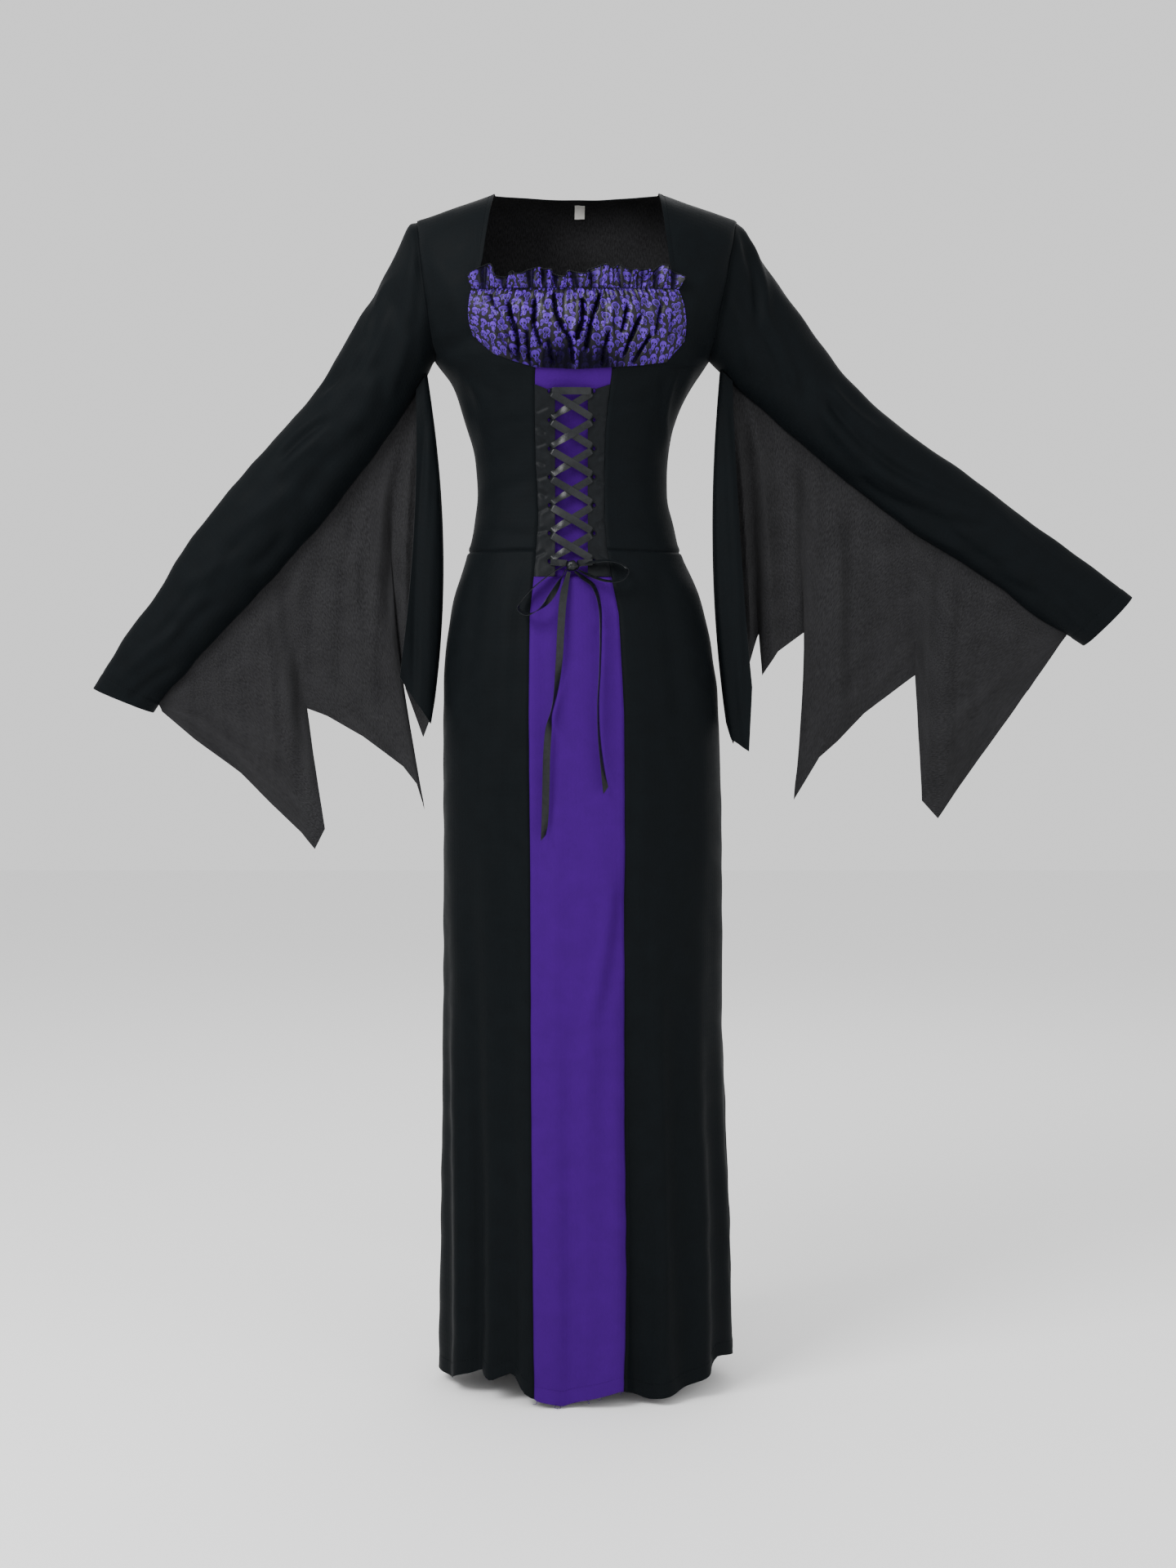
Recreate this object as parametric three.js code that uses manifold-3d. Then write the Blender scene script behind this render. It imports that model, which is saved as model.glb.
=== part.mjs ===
// A long witch gown with batwing sleeves, standing in the form that it has when worn.
// Millimetres, +Z up, the front faces -Y. The origin is between the shoulders, at seam height.
import * as THREE from 'three';
import { mergeVertices } from 'three/addons/utils/BufferGeometryUtils.js';
import Module from 'manifold-3d';

// Cloth and seams
const CLOTH = 1.2; // wall thickness of one layer of cloth
const SATIN = 1.0; // wall thickness of ribbon and print
const SEAM = 0.3; // clearance between two pieces at a seam
const LAYER = 0.6; // clearance of a piece that lies on another one
const WING_SEAM = 0.45; // clearance between a wing and its sleeve
const TURN_STEP = 1e-4; // radians between the two places that give a surface's slope round it
const LEVEL_STEP = 0.25; // half the height between the two that give its slope upwards
const ROUNDNESS = 2.2; // exponent of the body's cross-section, 2 is an ellipse

// Shoulders and neck
const NECK_HALF = 97; // half the width of the neck at the shoulder seams
const NECK_HEIGHT = 14.6; // shoulder seam at the neck
const SHOULDER_DROP = 31; // from the neck to the armhole, along the shoulder seam
const SHOULDER_ROLL = 105; // height over which the chest rounds off to the shoulder seam
const SHOULDER_LENGTH = 93; // shoulder seam, seen from the front
const BACK_NECK = 46; // how far the back neck lies behind the shoulder seams
const NAPE_RISE = 3; // how much higher the back neckline is at its middle
const ARM_HALF_DEPTH = 54; // half the depth of each armhole, front to back

// Levels
const UNDERARM = -183.6;
const WAIST = -412;
const POINT = -443; // where the centre panels of bodice and skirt meet
const HEM = -1393;
const BUST_FOOT = -200.5; // lower corners of the bust panel
const PLACKET_TOP = -221;

// The body's sections from the shoulders to the hem: outline at the viewer's left and right,
// depth to the front and to the back.
const SECTIONS = [
  { z: 15, left: -193.3, right: 196.2, front: 88, back: 90 },
  { z: -60, left: -184.1, right: 181.8, front: 100, back: 94 },
  { z: -120, left: -176.7, right: 170.2, front: 110, back: 94 },
  { z: UNDERARM, left: -168.9, right: 158.0, front: 110, back: 90 },
  { z: -215, left: -147.4, right: 136.7, front: 104, back: 84 },
  { z: -250, left: -135.0, right: 120.0, front: 97, back: 78 },
  { z: -300, left: -120.5, right: 109.3, front: 89, back: 74 },
  { z: -345, left: -118.0, right: 107.5, front: 86, back: 74 },
  { z: -375, left: -121.0, right: 113.5, front: 88, back: 78 },
  { z: WAIST, left: -128.4, right: 123.5, front: 92, back: 84 },
  { z: -465, left: -145.4, right: 146.6, front: 104, back: 98 },
  { z: -528, left: -156.0, right: 160.5, front: 114, back: 110 },
  { z: -600, left: -158.5, right: 168.8, front: 120, back: 116 },
  { z: -795, left: -158.5, right: 173.7, front: 124, back: 122 },
  { z: -950, left: -159.0, right: 173.5, front: 126, back: 124 },
  { z: -1072, left: -160.5, right: 178.6, front: 128, back: 126 },
  { z: -1195, left: -162.0, right: 185.4, front: 131, back: 128 },
  { z: HEM, left: -164.0, right: 191.0, front: 135, back: 132 },
];

// The front pieces' inner seams: the neckline, then the bust panel, the plackets, the skirt.
const FRONT_SEAMS = [
  { z: NECK_HEIGHT, left: -97.0, right: 97.0 },
  { z: -77.3, left: -109.6, right: 107.7 },
  { z: -96.7, left: -115.7, right: 112.8 },
  { z: -129.7, left: -122.0, right: 122.5 },
  { z: -163.7, left: -117.4, right: 122.5 },
  { z: UNDERARM, left: -95.6, right: 112.0 },
  { z: -193, left: -72.0, right: 99.0 },
  { z: BUST_FOOT, left: -48.0, right: 41.6 },
  { z: -212, left: -48.9, right: 40.9 },
  { z: -240, left: -48.8, right: 36.6 },
  { z: -275, left: -48.4, right: 33.4 },
  { z: -310, left: -47.8, right: 32.4 },
  { z: -345, left: -45.6, right: 32.1 },
  { z: -376, left: -44.6, right: 32.2 },
  { z: WAIST, left: -47.1, right: 35.4 },
  { z: POINT, left: -49.6, right: 40.4 },
  { z: -487, left: -54.4, right: 49.2 },
  { z: -600, left: -55.4, right: 54.8 },
  { z: -790, left: -53.5, right: 57.3 },
  { z: -1070, left: -52.6, right: 59.3 },
  { z: -1250, left: -51.0, right: 61.9 },
  { z: HEM, left: -48.8, right: 56.3 },
];

// Grooves between the skirt's folds: place round the body in degrees from the middle of the
// front to the viewer's right, half width in degrees, depth at the hem, and where each begins.
const SKIRT_FOLDS = [
  { at: -74, wide: 8, deep: 10, from: -700 },
  { at: -50, wide: 7, deep: 17, from: -640 },
  { at: -29, wide: 5, deep: 14, from: -560 },
  { at: -4, wide: 6, deep: 8, from: -860 },
  { at: 18.5, wide: 6, deep: 19, from: -600 },
  { at: 40, wide: 7, deep: 9, from: -820 },
  { at: 62, wide: 8, deep: 15, from: -720 },
  { at: 86, wide: 7, deep: 8, from: -900 },
  { at: 109, wide: 8, deep: 16, from: -680 },
  { at: 131, wide: 7, deep: 12, from: -760 },
  { at: 155, wide: 9, deep: 18, from: -600 },
  { at: 180, wide: 7, deep: 10, from: -820 },
  { at: 203, wide: 8, deep: 17, from: -640 },
  { at: 228, wide: 7, deep: 12, from: -780 },
  { at: 251, wide: 8, deep: 15, from: -700 },
];

// How much higher the hem is than its lowest place, by degrees round the body, and the level
// from which the cloth eases into it
const HEM_EASE = -1070;
const HEM_RISE = [
  { at: -90, rise: 10 },
  { at: -72, rise: 8 },
  { at: -58, rise: 20 },
  { at: -47, rise: 30 },
  { at: -38, rise: 22 },
  { at: -30, rise: 32 },
  { at: -23, rise: 13 },
  { at: -16.5, rise: 5 },
  { at: -8, rise: 0 },
  { at: 0, rise: 7 },
  { at: 10.5, rise: 17 },
  { at: 16, rise: 11 },
  { at: 22.5, rise: 4 },
  { at: 30, rise: 7 },
  { at: 46, rise: 17 },
  { at: 57, rise: 24 },
  { at: 66, rise: 37 },
  { at: 82, rise: 33 },
  { at: 110, rise: 22 },
  { at: 134, rise: 12 },
  { at: 158, rise: 19 },
  { at: 182, rise: 9 },
  { at: 204, rise: 18 },
  { at: 230, rise: 10 },
  { at: 252, rise: 19 },
  { at: 270, rise: 10 },
];

// Each sleeve's sections from the armhole to the cuff: its upper and lower edge seen from the
// front, its half depth, and how far its middle lies behind the shoulder seam.
const SLEEVE_RIGHT = [
  { upX: -189.9, upZ: -17.4, lowX: -169.5, lowZ: -183.3, half: ARM_HALF_DEPTH, behind: 0 },
  { upX: -201.4, upZ: -23.0, lowX: -172.4, lowZ: -188.0, half: 54, behind: 0 },
  { upX: -217.8, upZ: -59.3, lowX: -179.7, lowZ: -201.9, half: 52, behind: 2 },
  { upX: -237.5, upZ: -95.0, lowX: -193.6, lowZ: -224.1, half: 49, behind: 5 },
  { upX: -260.3, upZ: -131.7, lowX: -209.4, lowZ: -249.2, half: 47, behind: 8 },
  { upX: -285.1, upZ: -172.4, lowX: -228.3, lowZ: -275.3, half: 45, behind: 12 },
  { upX: -311.0, upZ: -215.1, lowX: -251.2, lowZ: -305.4, half: 42, behind: 16 },
  { upX: -342.9, upZ: -251.0, lowX: -278.0, lowZ: -340.4, half: 41, behind: 20 },
  { upX: -374.9, upZ: -286.0, lowX: -308.0, lowZ: -377.5, half: 40, behind: 24 },
  { upX: -409.9, upZ: -325.1, lowX: -341.0, lowZ: -413.7, half: 38, behind: 29 },
  { upX: -445.1, upZ: -367.2, lowX: -374.1, lowZ: -449.1, half: 36, behind: 34 },
  { upX: -479.5, upZ: -412.4, lowX: -411.3, lowZ: -487.5, half: 34, behind: 39 },
  { upX: -511.2, upZ: -464.3, lowX: -449.6, lowZ: -528.0, half: 31, behind: 44 },
  { upX: -540.6, upZ: -500.3, lowX: -477.1, lowZ: -557.8, half: 29, behind: 49 },
  { upX: -564.9, upZ: -536.8, lowX: -496.9, lowZ: -578.7, half: 27, behind: 54 },
  { upX: -588.4, upZ: -574.8, lowX: -516.7, lowZ: -603.7, half: 26, behind: 60 },
];
const SLEEVE_LEFT = [
  { upX: 190.6, upZ: -17.4, lowX: 158.7, lowZ: -183.3, half: ARM_HALF_DEPTH, behind: 0 },
  { upX: 200.4, upZ: -26.0, lowX: 163.2, lowZ: -188.0, half: 54, behind: 0 },
  { upX: 209.0, upZ: -43.0, lowX: 172.9, lowZ: -197.0, half: 52, behind: 2 },
  { upX: 226.8, upZ: -69.6, lowX: 188.7, lowZ: -212.3, half: 49, behind: 5 },
  { upX: 248.6, upZ: -99.4, lowX: 206.5, lowZ: -227.6, half: 47, behind: 8 },
  { upX: 271.4, upZ: -129.3, lowX: 225.4, lowZ: -243.0, half: 45, behind: 12 },
  { upX: 294.3, upZ: -162.1, lowX: 246.3, lowZ: -260.2, half: 42, behind: 16 },
  { upX: 322.3, upZ: -198.0, lowX: 271.2, lowZ: -281.5, half: 41, behind: 20 },
  { upX: 360.1, upZ: -234.9, lowX: 301.1, lowZ: -306.7, half: 40, behind: 24 },
  { upX: 401.1, upZ: -266.9, lowX: 336.0, lowZ: -333.9, half: 38, behind: 29 },
  { upX: 444.1, upZ: -296.1, lowX: 381.0, lowZ: -368.2, half: 36, behind: 34 },
  { upX: 488.4, upZ: -327.4, lowX: 427.1, lowZ: -399.5, half: 34, behind: 39 },
  { upX: 533.8, upZ: -360.7, lowX: 472.4, lowZ: -426.0, half: 31, behind: 44 },
  { upX: 579.3, upZ: -393.1, lowX: 517.8, lowZ: -455.6, half: 29, behind: 49 },
  { upX: 627.0, upZ: -426.7, lowX: 562.4, lowZ: -489.3, half: 27, behind: 54 },
  { upX: 677.0, upZ: -463.3, lowX: 618.2, lowZ: -522.0, half: 26, behind: 60 },
];

// Each wing, column by column from the cuff to the body and round the fold beside it: the
// place of its top on the sleeve's underside, counted in sleeve sections, how far that top
// lies in front, the middle's sideways place, and the hem's place with its forward push.
const WING_RIGHT = [
  { seam: 14.60, ahead: 0, midX: -507.0, hemX: -505.0, hemZ: -603.0, push: 0 },
  { seam: 13.60, ahead: 0, midX: -479.0, hemX: -463.7, hemZ: -636.1, push: 5 },
  { seam: 12.50, ahead: 0, midX: -440.0, hemX: -407.7, hemZ: -677.4, push: -3 },
  { seam: 11.60, ahead: 0, midX: -409.0, hemX: -369.4, hemZ: -714.7, push: 2 },
  { seam: 10.90, ahead: 0, midX: -377.0, hemX: -332.1, hemZ: -748.2, push: 10 },
  { seam: 10.50, ahead: 0, midX: -361.0, hemX: -315.4, hemZ: -767.8, push: 15 },
  { seam: 10.20, ahead: 0, midX: -350.0, hemX: -302.6, hemZ: -743.2, push: 14 },
  { seam: 9.90, ahead: 0, midX: -350.0, hemX: -317.3, hemZ: -654.8, push: 4 },
  { seam: 9.40, ahead: 0, midX: -343.0, hemX: -326.2, hemZ: -598.8, push: -8 },
  { seam: 8.60, ahead: 0, midX: -319.0, hemX: -302.1, hemZ: -607.7, push: -10 },
  { seam: 7.90, ahead: 0, midX: -286.0, hemX: -257.4, hemZ: -632.2, push: -2 },
  { seam: 7.20, ahead: 0, midX: -250.0, hemX: -208.3, hemZ: -667.6, push: 8 },
  { seam: 6.70, ahead: 0, midX: -234.0, hemX: -191.6, hemZ: -688.2, push: 13 },
  { seam: 6.30, ahead: 0, midX: -224.0, hemX: -181.8, hemZ: -718.7, push: 14 },
  { seam: 5.90, ahead: 0, midX: -224.0, hemX: -194.5, hemZ: -647.0, push: 8 },
  { seam: 5.40, ahead: 0, midX: -223.0, hemX: -206.3, hemZ: -583.1, push: 0 },
  { seam: 4.80, ahead: 0, midX: -221.0, hemX: -220.0, hemZ: -522.0, push: -8 },
  { seam: 4.10, ahead: 0, midX: -204.0, hemX: -205.0, hemZ: -575.0, push: -4 },
  { seam: 3.50, ahead: 0, midX: -186.0, hemX: -184.0, hemZ: -632.0, push: 0 },
  { seam: 2.80, ahead: 1, midX: -168.0, hemX: -173.5, hemZ: -604.0, push: 5 },
  { seam: 2.10, ahead: 4, midX: -160.0, hemX: -169.5, hemZ: -588.0, push: 15 },
  { seam: 1.90, ahead: 10, midX: -163.0, hemX: -173.0, hemZ: -615.0, push: 26 },
  { seam: 2.10, ahead: 14, midX: -174.0, hemX: -184.5, hemZ: -596.0, push: 27 },
  { seam: 2.40, ahead: 15, midX: -183.0, hemX: -198.5, hemZ: -577.0, push: 23 },
  { seam: 2.80, ahead: 15, midX: -193.5, hemX: -209.0, hemZ: -560.0, push: 26 },
];
const WING_LEFT = [
  { seam: 14.60, ahead: 0, midX: 597.0, hemX: 594.5, hemZ: -513.0, push: 0 },
  { seam: 14.00, ahead: 0, midX: 552.0, hemX: 532.5, hemZ: -599.8, push: 5 },
  { seam: 13.00, ahead: 0, midX: 499.0, hemX: 470.6, hemZ: -686.3, push: -2 },
  { seam: 12.10, ahead: 0, midX: 461.0, hemX: 437.2, hemZ: -731.4, push: 10 },
  { seam: 11.60, ahead: 0, midX: 442.0, hemX: 416.6, hemZ: -709.8, push: 14 },
  { seam: 11.10, ahead: 0, midX: 427.0, hemX: 412.7, hemZ: -620.4, push: 4 },
  { seam: 10.60, ahead: 0, midX: 412.0, hemX: 410.7, hemZ: -558.5, push: -8 },
  { seam: 9.80, ahead: 0, midX: 364.0, hemX: 347.8, hemZ: -604.7, push: -4 },
  { seam: 9.20, ahead: 0, midX: 334.0, hemX: 314.4, hemZ: -638.1, push: 5 },
  { seam: 8.70, ahead: 0, midX: 312.0, hemX: 291.8, hemZ: -656.8, push: 12 },
  { seam: 8.20, ahead: 0, midX: 287.0, hemX: 260.4, hemZ: -707.9, push: 14 },
  { seam: 7.60, ahead: 0, midX: 276.0, hemX: 274.1, hemZ: -580.1, push: 3 },
  { seam: 7.00, ahead: 0, midX: 268.0, hemX: 279.0, hemZ: -503.5, push: -8 },
  { seam: 6.10, ahead: 0, midX: 241.0, hemX: 241.7, hemZ: -530.0, push: 4 },
  { seam: 5.40, ahead: 0, midX: 226.0, hemX: 222.1, hemZ: -558.5, push: 8 },
  { seam: 4.80, ahead: 0, midX: 213.0, hemX: 219.0, hemZ: -507.5, push: -4 },
  { seam: 4.10, ahead: 0, midX: 196.0, hemX: 199.0, hemZ: -570.0, push: -2 },
  { seam: 3.50, ahead: 0, midX: 182.0, hemX: 188.0, hemZ: -640.0, push: 2 },
  { seam: 2.80, ahead: 1, midX: 169.0, hemX: 182.0, hemZ: -622.0, push: 6 },
  { seam: 2.10, ahead: 4, midX: 163.0, hemX: 178.5, hemZ: -614.0, push: 16 },
  { seam: 1.90, ahead: 10, midX: 166.0, hemX: 183.5, hemZ: -634.0, push: 26 },
  { seam: 2.10, ahead: 14, midX: 175.0, hemX: 195.0, hemZ: -642.0, push: 25 },
  { seam: 2.40, ahead: 15, midX: 184.0, hemX: 203.5, hemZ: -648.0, push: 28 },
  { seam: 2.80, ahead: 15, midX: 193.5, hemX: 207.5, hemZ: -572.0, push: 25 },
];

// The lower outline of the bust panel, and its gathers
const BUST_OUTLINE = [
  { x: -119.0, z: -163.7 },
  { x: -97.0, z: -184.6 },
  { x: -72.0, z: -194.5 },
  { x: -48.0, z: -202.0 },
  { x: 0.0, z: -204.5 },
  { x: 41.6, z: -202.0 },
  { x: 76.0, z: -198.6 },
  { x: 104.0, z: -193.5 },
  { x: 124.0, z: -170.0 },
];
const BUST_TOP = -111; // the gathering line under the ruffle
const BUST_TOP_X = { left: -120, right: 117 }; // its ends
const BUST_WIDEN = 5; // how much wider the panel is halfway down
const BUST_BULGE = 9; // how far the gathered panel stands out at its middle
const BUST_ROUND = 0.7; // exponent of the bulge, 1 is a sine
const BUST_GATHERS = 9;
const GATHER_DEPTH = 2.2;
const BUST_COLUMNS = 36;
const BUST_SHARES = [0, 0.1, 0.25, 0.42, 0.6, 0.78, 0.92, 1];
const RUFFLE_X = { left: -119, right: 116 };
const RUFFLE_FOOT = -110.5;
const RUFFLE_TOP = -83;
const RUFFLE_SCALLOPS = 3;
const SCALLOP_HEIGHT = 3;
const RUFFLE_WAVES = 10;
const RUFFLE_DEPTH = 5;
const RUFFLE_LEAN = 6; // how far the ruffle's top leans out
const RUFFLE_SHARES = [0, 0.45, 1];
const MODESTY_TOP = -202; // upper edge of the panel behind the lacing

// Lacing
const EYELETS = 7; // on each placket
const EYELET_TOP = -229;
const EYELET_STEP = 32.7;
const EYELET_RADIUS = 2.6;
const EYELET_X = { left: -31, right: 19.5 };
const PLACKET_EDGE = { left: -25, right: 13 }; // the plackets' free edges
const PLACKET_SLANT = 9; // how much lower the plackets' free corners start
const EYELET_SIDES = 10;
const RIBBON = 8.5; // width of the lace
const RIBBON_LIFT = 1.1; // how high the upper lace stands over the lower one
const LACE_CLEAR = 0.9; // clearance between the lace and the plackets
const LACE_OFFSET = 6; // height between an eyelet and the end of a crossing at it
const LACE_LEAN = 0.5; // slope of a crossing's ends
const LACE_SHARE = 0.94; // a crossing's width as a share of the ribbon's
const PINCHED_SHARE = 0.5; // the same at its ends, pulled into the eyelets
const BAR_RISE = 0.8; // how far the upper bar of the lace stands out at its middle
const LACE_END = { below: 5, above: 5, aside: 5.8, lift: 1.5, wide: 0.85, taper: 0.16 };

// The bow: its knot, and the way of each ribbon from the knot
const KNOT = { x: -4.7, z: -431, width: 15, height: 13, depth: 11, lift: 4.2 };
const BOW_LEAN = 0.35; // how much the width of each ribbon leans upwards
const BOW_PINCH = 0.75; // width at the knot as a share of the ribbon's
const BOW_LIFT = 4; // how far the bow stands in front of the plackets, before its own y
const LOOP_RIGHT = [
  { x: -12.9, y: 0.4, z: -430 },
  { x: -26, y: 4, z: -438 },
  { x: -48, y: 7, z: -455 },
  { x: -62, y: 8, z: -470 },
  { x: -66, y: 12, z: -481 },
  { x: -55, y: 16, z: -487 },
  { x: -40, y: 16, z: -479 },
  { x: -27, y: 12, z: -463 },
  { x: -12.3, y: 0.6, z: -434.8 },
];
const LOOP_LEFT = [
  { x: 3.2, y: 0.4, z: -431.2 },
  { x: 18, y: 4, z: -427 },
  { x: 35, y: 6, z: -425 },
  { x: 50, y: 8, z: -428 },
  { x: 59, y: 12, z: -437 },
  { x: 52, y: 16, z: -447 },
  { x: 38, y: 16, z: -449 },
  { x: 22, y: 12, z: -445 },
  { x: 2.6, y: 0.6, z: -435.6 },
];
const TAIL_RIGHT = [
  { x: -9, y: 0.5, z: -437.8 },
  { x: -15, y: 4, z: -466 },
  { x: -18, y: 6, z: -504 },
  { x: -20, y: 6, z: -541 },
  { x: -24, y: 5, z: -579 },
  { x: -31, y: 6, z: -612 },
  { x: -34, y: 7, z: -645 },
  { x: -35, y: 6, z: -682 },
  { x: -36, y: 5, z: -720 },
  { x: -38, y: 6, z: -746 },
];
const TAIL_LEFT = [
  { x: -1.6, y: 0.5, z: -437.2 },
  { x: 8, y: 3, z: -445 },
  { x: 20, y: 4, z: -455 },
  { x: 27, y: 5, z: -478 },
  { x: 28, y: 6, z: -513 },
  { x: 27, y: 6, z: -551 },
  { x: 25, y: 7, z: -588 },
  { x: 26, y: 6, z: -626 },
  { x: 30, y: 5, z: -664 },
  { x: 34, y: 6, z: -692 },
];

// Each ribbon's way, and how its width turns: 0 is sideways, a right angle is front to back
const BOW_RIBBONS = {
  bow_loop_right: { rows: LOOP_RIGHT, turn: 1.2, twist: 0.4 },
  bow_loop_left: { rows: LOOP_LEFT, turn: 1.9, twist: -0.4 },
  bow_tail_right: { rows: TAIL_RIGHT, turn: 0.15, twist: 0.2 },
  bow_tail_left: { rows: TAIL_LEFT, turn: 1.0, twist: 0.35 },
};

// The size label inside the back neck
const LABEL = { x: 3.5, width: 12, height: 14, below: 3, thick: 0.6 };

// The side seams' turns, kept a hair apart for the front and the back
const HAIR = 1e-6;
const SIDE_LEFT = HAIR - Math.PI / 2;
const SIDE_RIGHT = Math.PI / 2 - HAIR;
const BACK_RIGHT = Math.PI / 2 + HAIR;
const BACK_LEFT = 1.5 * Math.PI - HAIR;

// Rows of points: levels, and shares of the way from the underarm to the shoulder seam
const BODICE_LEVELS = [WAIST, -376, -345, -310, -275, -240, -212, BUST_FOOT, -193, UNDERARM];
const BODICE_SHARES = [0.1004, 0.272, 0.438, 0.536, 0.68, 0.81, 0.9, 0.96, 0.99, 1];
const PLACKET_LEVELS = [PLACKET_TOP, -240, -275, -310, -345, -376, WAIST, POINT];
const MODESTY_LEVELS = [MODESTY_TOP, -212, -240, -275, -310, -345, -376, WAIST, POINT];
const SKIRT_LEVELS = [POINT, -487, -528, -600, -690, -790, -880, -980, -1070, -1160, -1250, -1325, HEM];
const WING_SHARES = [0, 0.05, 0.16, 0.3, 0.44, 0.58, 0.72, 0.86, 1];

// Columns of points
const FRONT_COLUMNS = 6;
const BACK_SHOULDER_COLUMNS = 4;
const BACK_NECK_COLUMNS = 8;
const SIDE_SKIRT_COLUMNS = 12;
const CENTRE_COLUMNS = 8;
const BACK_SKIRT_COLUMNS = 30;
const SLEEVE_COLUMNS = 16;

// Colours
const BLACK = { color: 0x17191b, roughness: 0.85 };
const PURPLE = { color: 0x55308c, roughness: 0.8 };
const PRINT = { color: 0x1d1a30, roughness: 0.5 };
const BLACK_SATIN = { color: 0x26282b, roughness: 0.35 };
const GREY = { color: 0x2c2c2e, roughness: 0.9 };
const WHITE = { color: 0xe6e4de, roughness: 0.7 };

const gown = new THREE.Group();
const BELOW_ARM = SECTIONS.filter((row) => row.z <= UNDERARM);

function mix(a, b, t) {
  return a + (b - a) * t;
}

function clamp(value, low, high) {
  return Math.min(high, Math.max(low, value));
}

function smooth(t) {
  const s = clamp(t, 0, 1);
  return s * s * (3 - 2 * s);
}

// A table's value between its rows: straight, or smoothly curved
function straight(table, key, at, value) {
  const sign = Math.sign(table[table.length - 1][key] - table[0][key]);
  let k = 0;
  while (k < table.length - 2 && (table[k + 1][key] - at) * sign < 0) {
    k += 1;
  }
  const t = (at - table[k][key]) / (table[k + 1][key] - table[k][key]);
  return mix(table[k][value], table[k + 1][value], clamp(t, 0, 1));
}

function curved(table, key, at, value) {
  const sign = Math.sign(table[table.length - 1][key] - table[0][key]);
  let k = 0;
  while (k < table.length - 2 && (table[k + 1][key] - at) * sign < 0) {
    k += 1;
  }
  const slope = (a, b) => (table[b][value] - table[a][value]) / (table[b][key] - table[a][key]);
  const step = table[k + 1][key] - table[k][key];
  const first = slope(Math.max(k - 1, 0), k + 1) * step;
  const last = slope(k, Math.min(k + 2, table.length - 1)) * step;
  const t = clamp((at - table[k][key]) / step, 0, 1);
  const a = table[k][value];
  const b = table[k + 1][value];
  return (
    (2 * t ** 3 - 3 * t ** 2 + 1) * a +
    (t ** 3 - 2 * t ** 2 + t) * first +
    (3 * t ** 2 - 2 * t ** 3) * b +
    (t ** 3 - t ** 2) * last
  );
}

// A row's value at a counted place, such as 2.4 rows from the first
function counted(rows, at, value) {
  const k = clamp(Math.floor(at), 0, rows.length - 2);
  return mix(rows[k][value], rows[k + 1][value], at - k);
}

function evenly(from, to, steps) {
  return Array.from({ length: steps + 1 }, (_, k) => mix(from, to, k / steps));
}

// How near a place is to the middle of the neck, from 0 at the neck's sides to 1
function nearNape(x) {
  return Math.max(0, 1 - (x / NECK_HALF) ** 2);
}

// The shoulder line's height, highest at the nape and falling to both armholes
function shoulderLine(x) {
  const fall = SHOULDER_DROP * Math.max(0, (Math.abs(x) - NECK_HALF) / SHOULDER_LENGTH);
  return NECK_HEIGHT + NAPE_RISE * nearNape(x) - fall;
}

function foldDepth(turn, z) {
  const degrees = THREE.MathUtils.radToDeg(turn);
  let depth = 0;
  for (const fold of SKIRT_FOLDS) {
    const away = ((degrees - fold.at + 540) % 360) - 180;
    const grown = smooth((fold.from - z) / (fold.from - HEM)) ** 0.8;
    depth += fold.deep * grown * Math.exp(-((away / fold.wide) ** 2));
  }
  return depth;
}

// The body's outline at one side: straight along the armhole, curved under it
function outlineAt(side, z) {
  return z > UNDERARM ? straight(SECTIONS, 'z', z, side) : curved(BELOW_ARM, 'z', z, side);
}

// The normal of the plane in which an armhole lies
function armholePlane(side) {
  const rise = SECTIONS[0].z - UNDERARM;
  const lean = SECTIONS[0][side] - BELOW_ARM[0][side];
  return new THREE.Vector3(rise, 0, -lean).normalize();
}

// A point of the body's surface. turn is the angle round it from the middle of the front to
// the viewer's right, and out moves the point off the surface.
function bodyPoint(turn, z, out = 0) {
  const left = outlineAt('left', z);
  const right = outlineAt('right', z);
  const side = Math.sin(turn);
  const ahead = Math.cos(turn);
  const middle = (left + right) / 2;
  const power = 2 / ROUNDNESS;
  const shrink = foldDepth(turn, z);
  const half = (right - left) / 2 + out - shrink;
  const x = middle + half * Math.sign(side) * Math.abs(side) ** power;
  const depth = curved(SECTIONS, 'z', z, ahead > 0 ? 'front' : 'back') + out - shrink;
  const drop = Math.max(0, shoulderLine(x) - z);
  const t = clamp(drop / (shoulderLine(NECK_HALF + SHOULDER_LENGTH) - UNDERARM), 0, 1);
  const arm = 2 * ARM_HALF_DEPTH * Math.sqrt(t * (1 - t));
  const fallen = Math.min(1, drop / SHOULDER_ROLL);
  const nape = ahead > 0 ? 0 : nearNape(x);
  const roll = mix(Math.sqrt(1 - (1 - fallen) ** 2), Math.sin((fallen * Math.PI) / 2), nape);
  const round = z > UNDERARM ? roll : 1;
  const away = arm + (depth - arm) * Math.abs(ahead) ** power * round;
  return new THREE.Vector3(x, ahead > 0 ? -away : away + BACK_NECK * nape * (1 - round), z);
}

// The turn at which the front of the body has a sideways place x
function turnAt(x, z) {
  const left = outlineAt('left', z);
  const right = outlineAt('right', z);
  const share = clamp((x - (left + right) / 2) / ((right - left) / 2), -1, 1);
  return Math.sign(share) * Math.asin(Math.abs(share) ** (ROUNDNESS / 2));
}

function seamTurn(side, z) {
  return turnAt(straight(FRONT_SEAMS, 'z', z, side), z);
}

function onFront(x, z, out = 0) {
  return bodyPoint(turnAt(x, z), z, out);
}

function topAt(turn) {
  return shoulderLine(bodyPoint(turn, 0).x);
}

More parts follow.
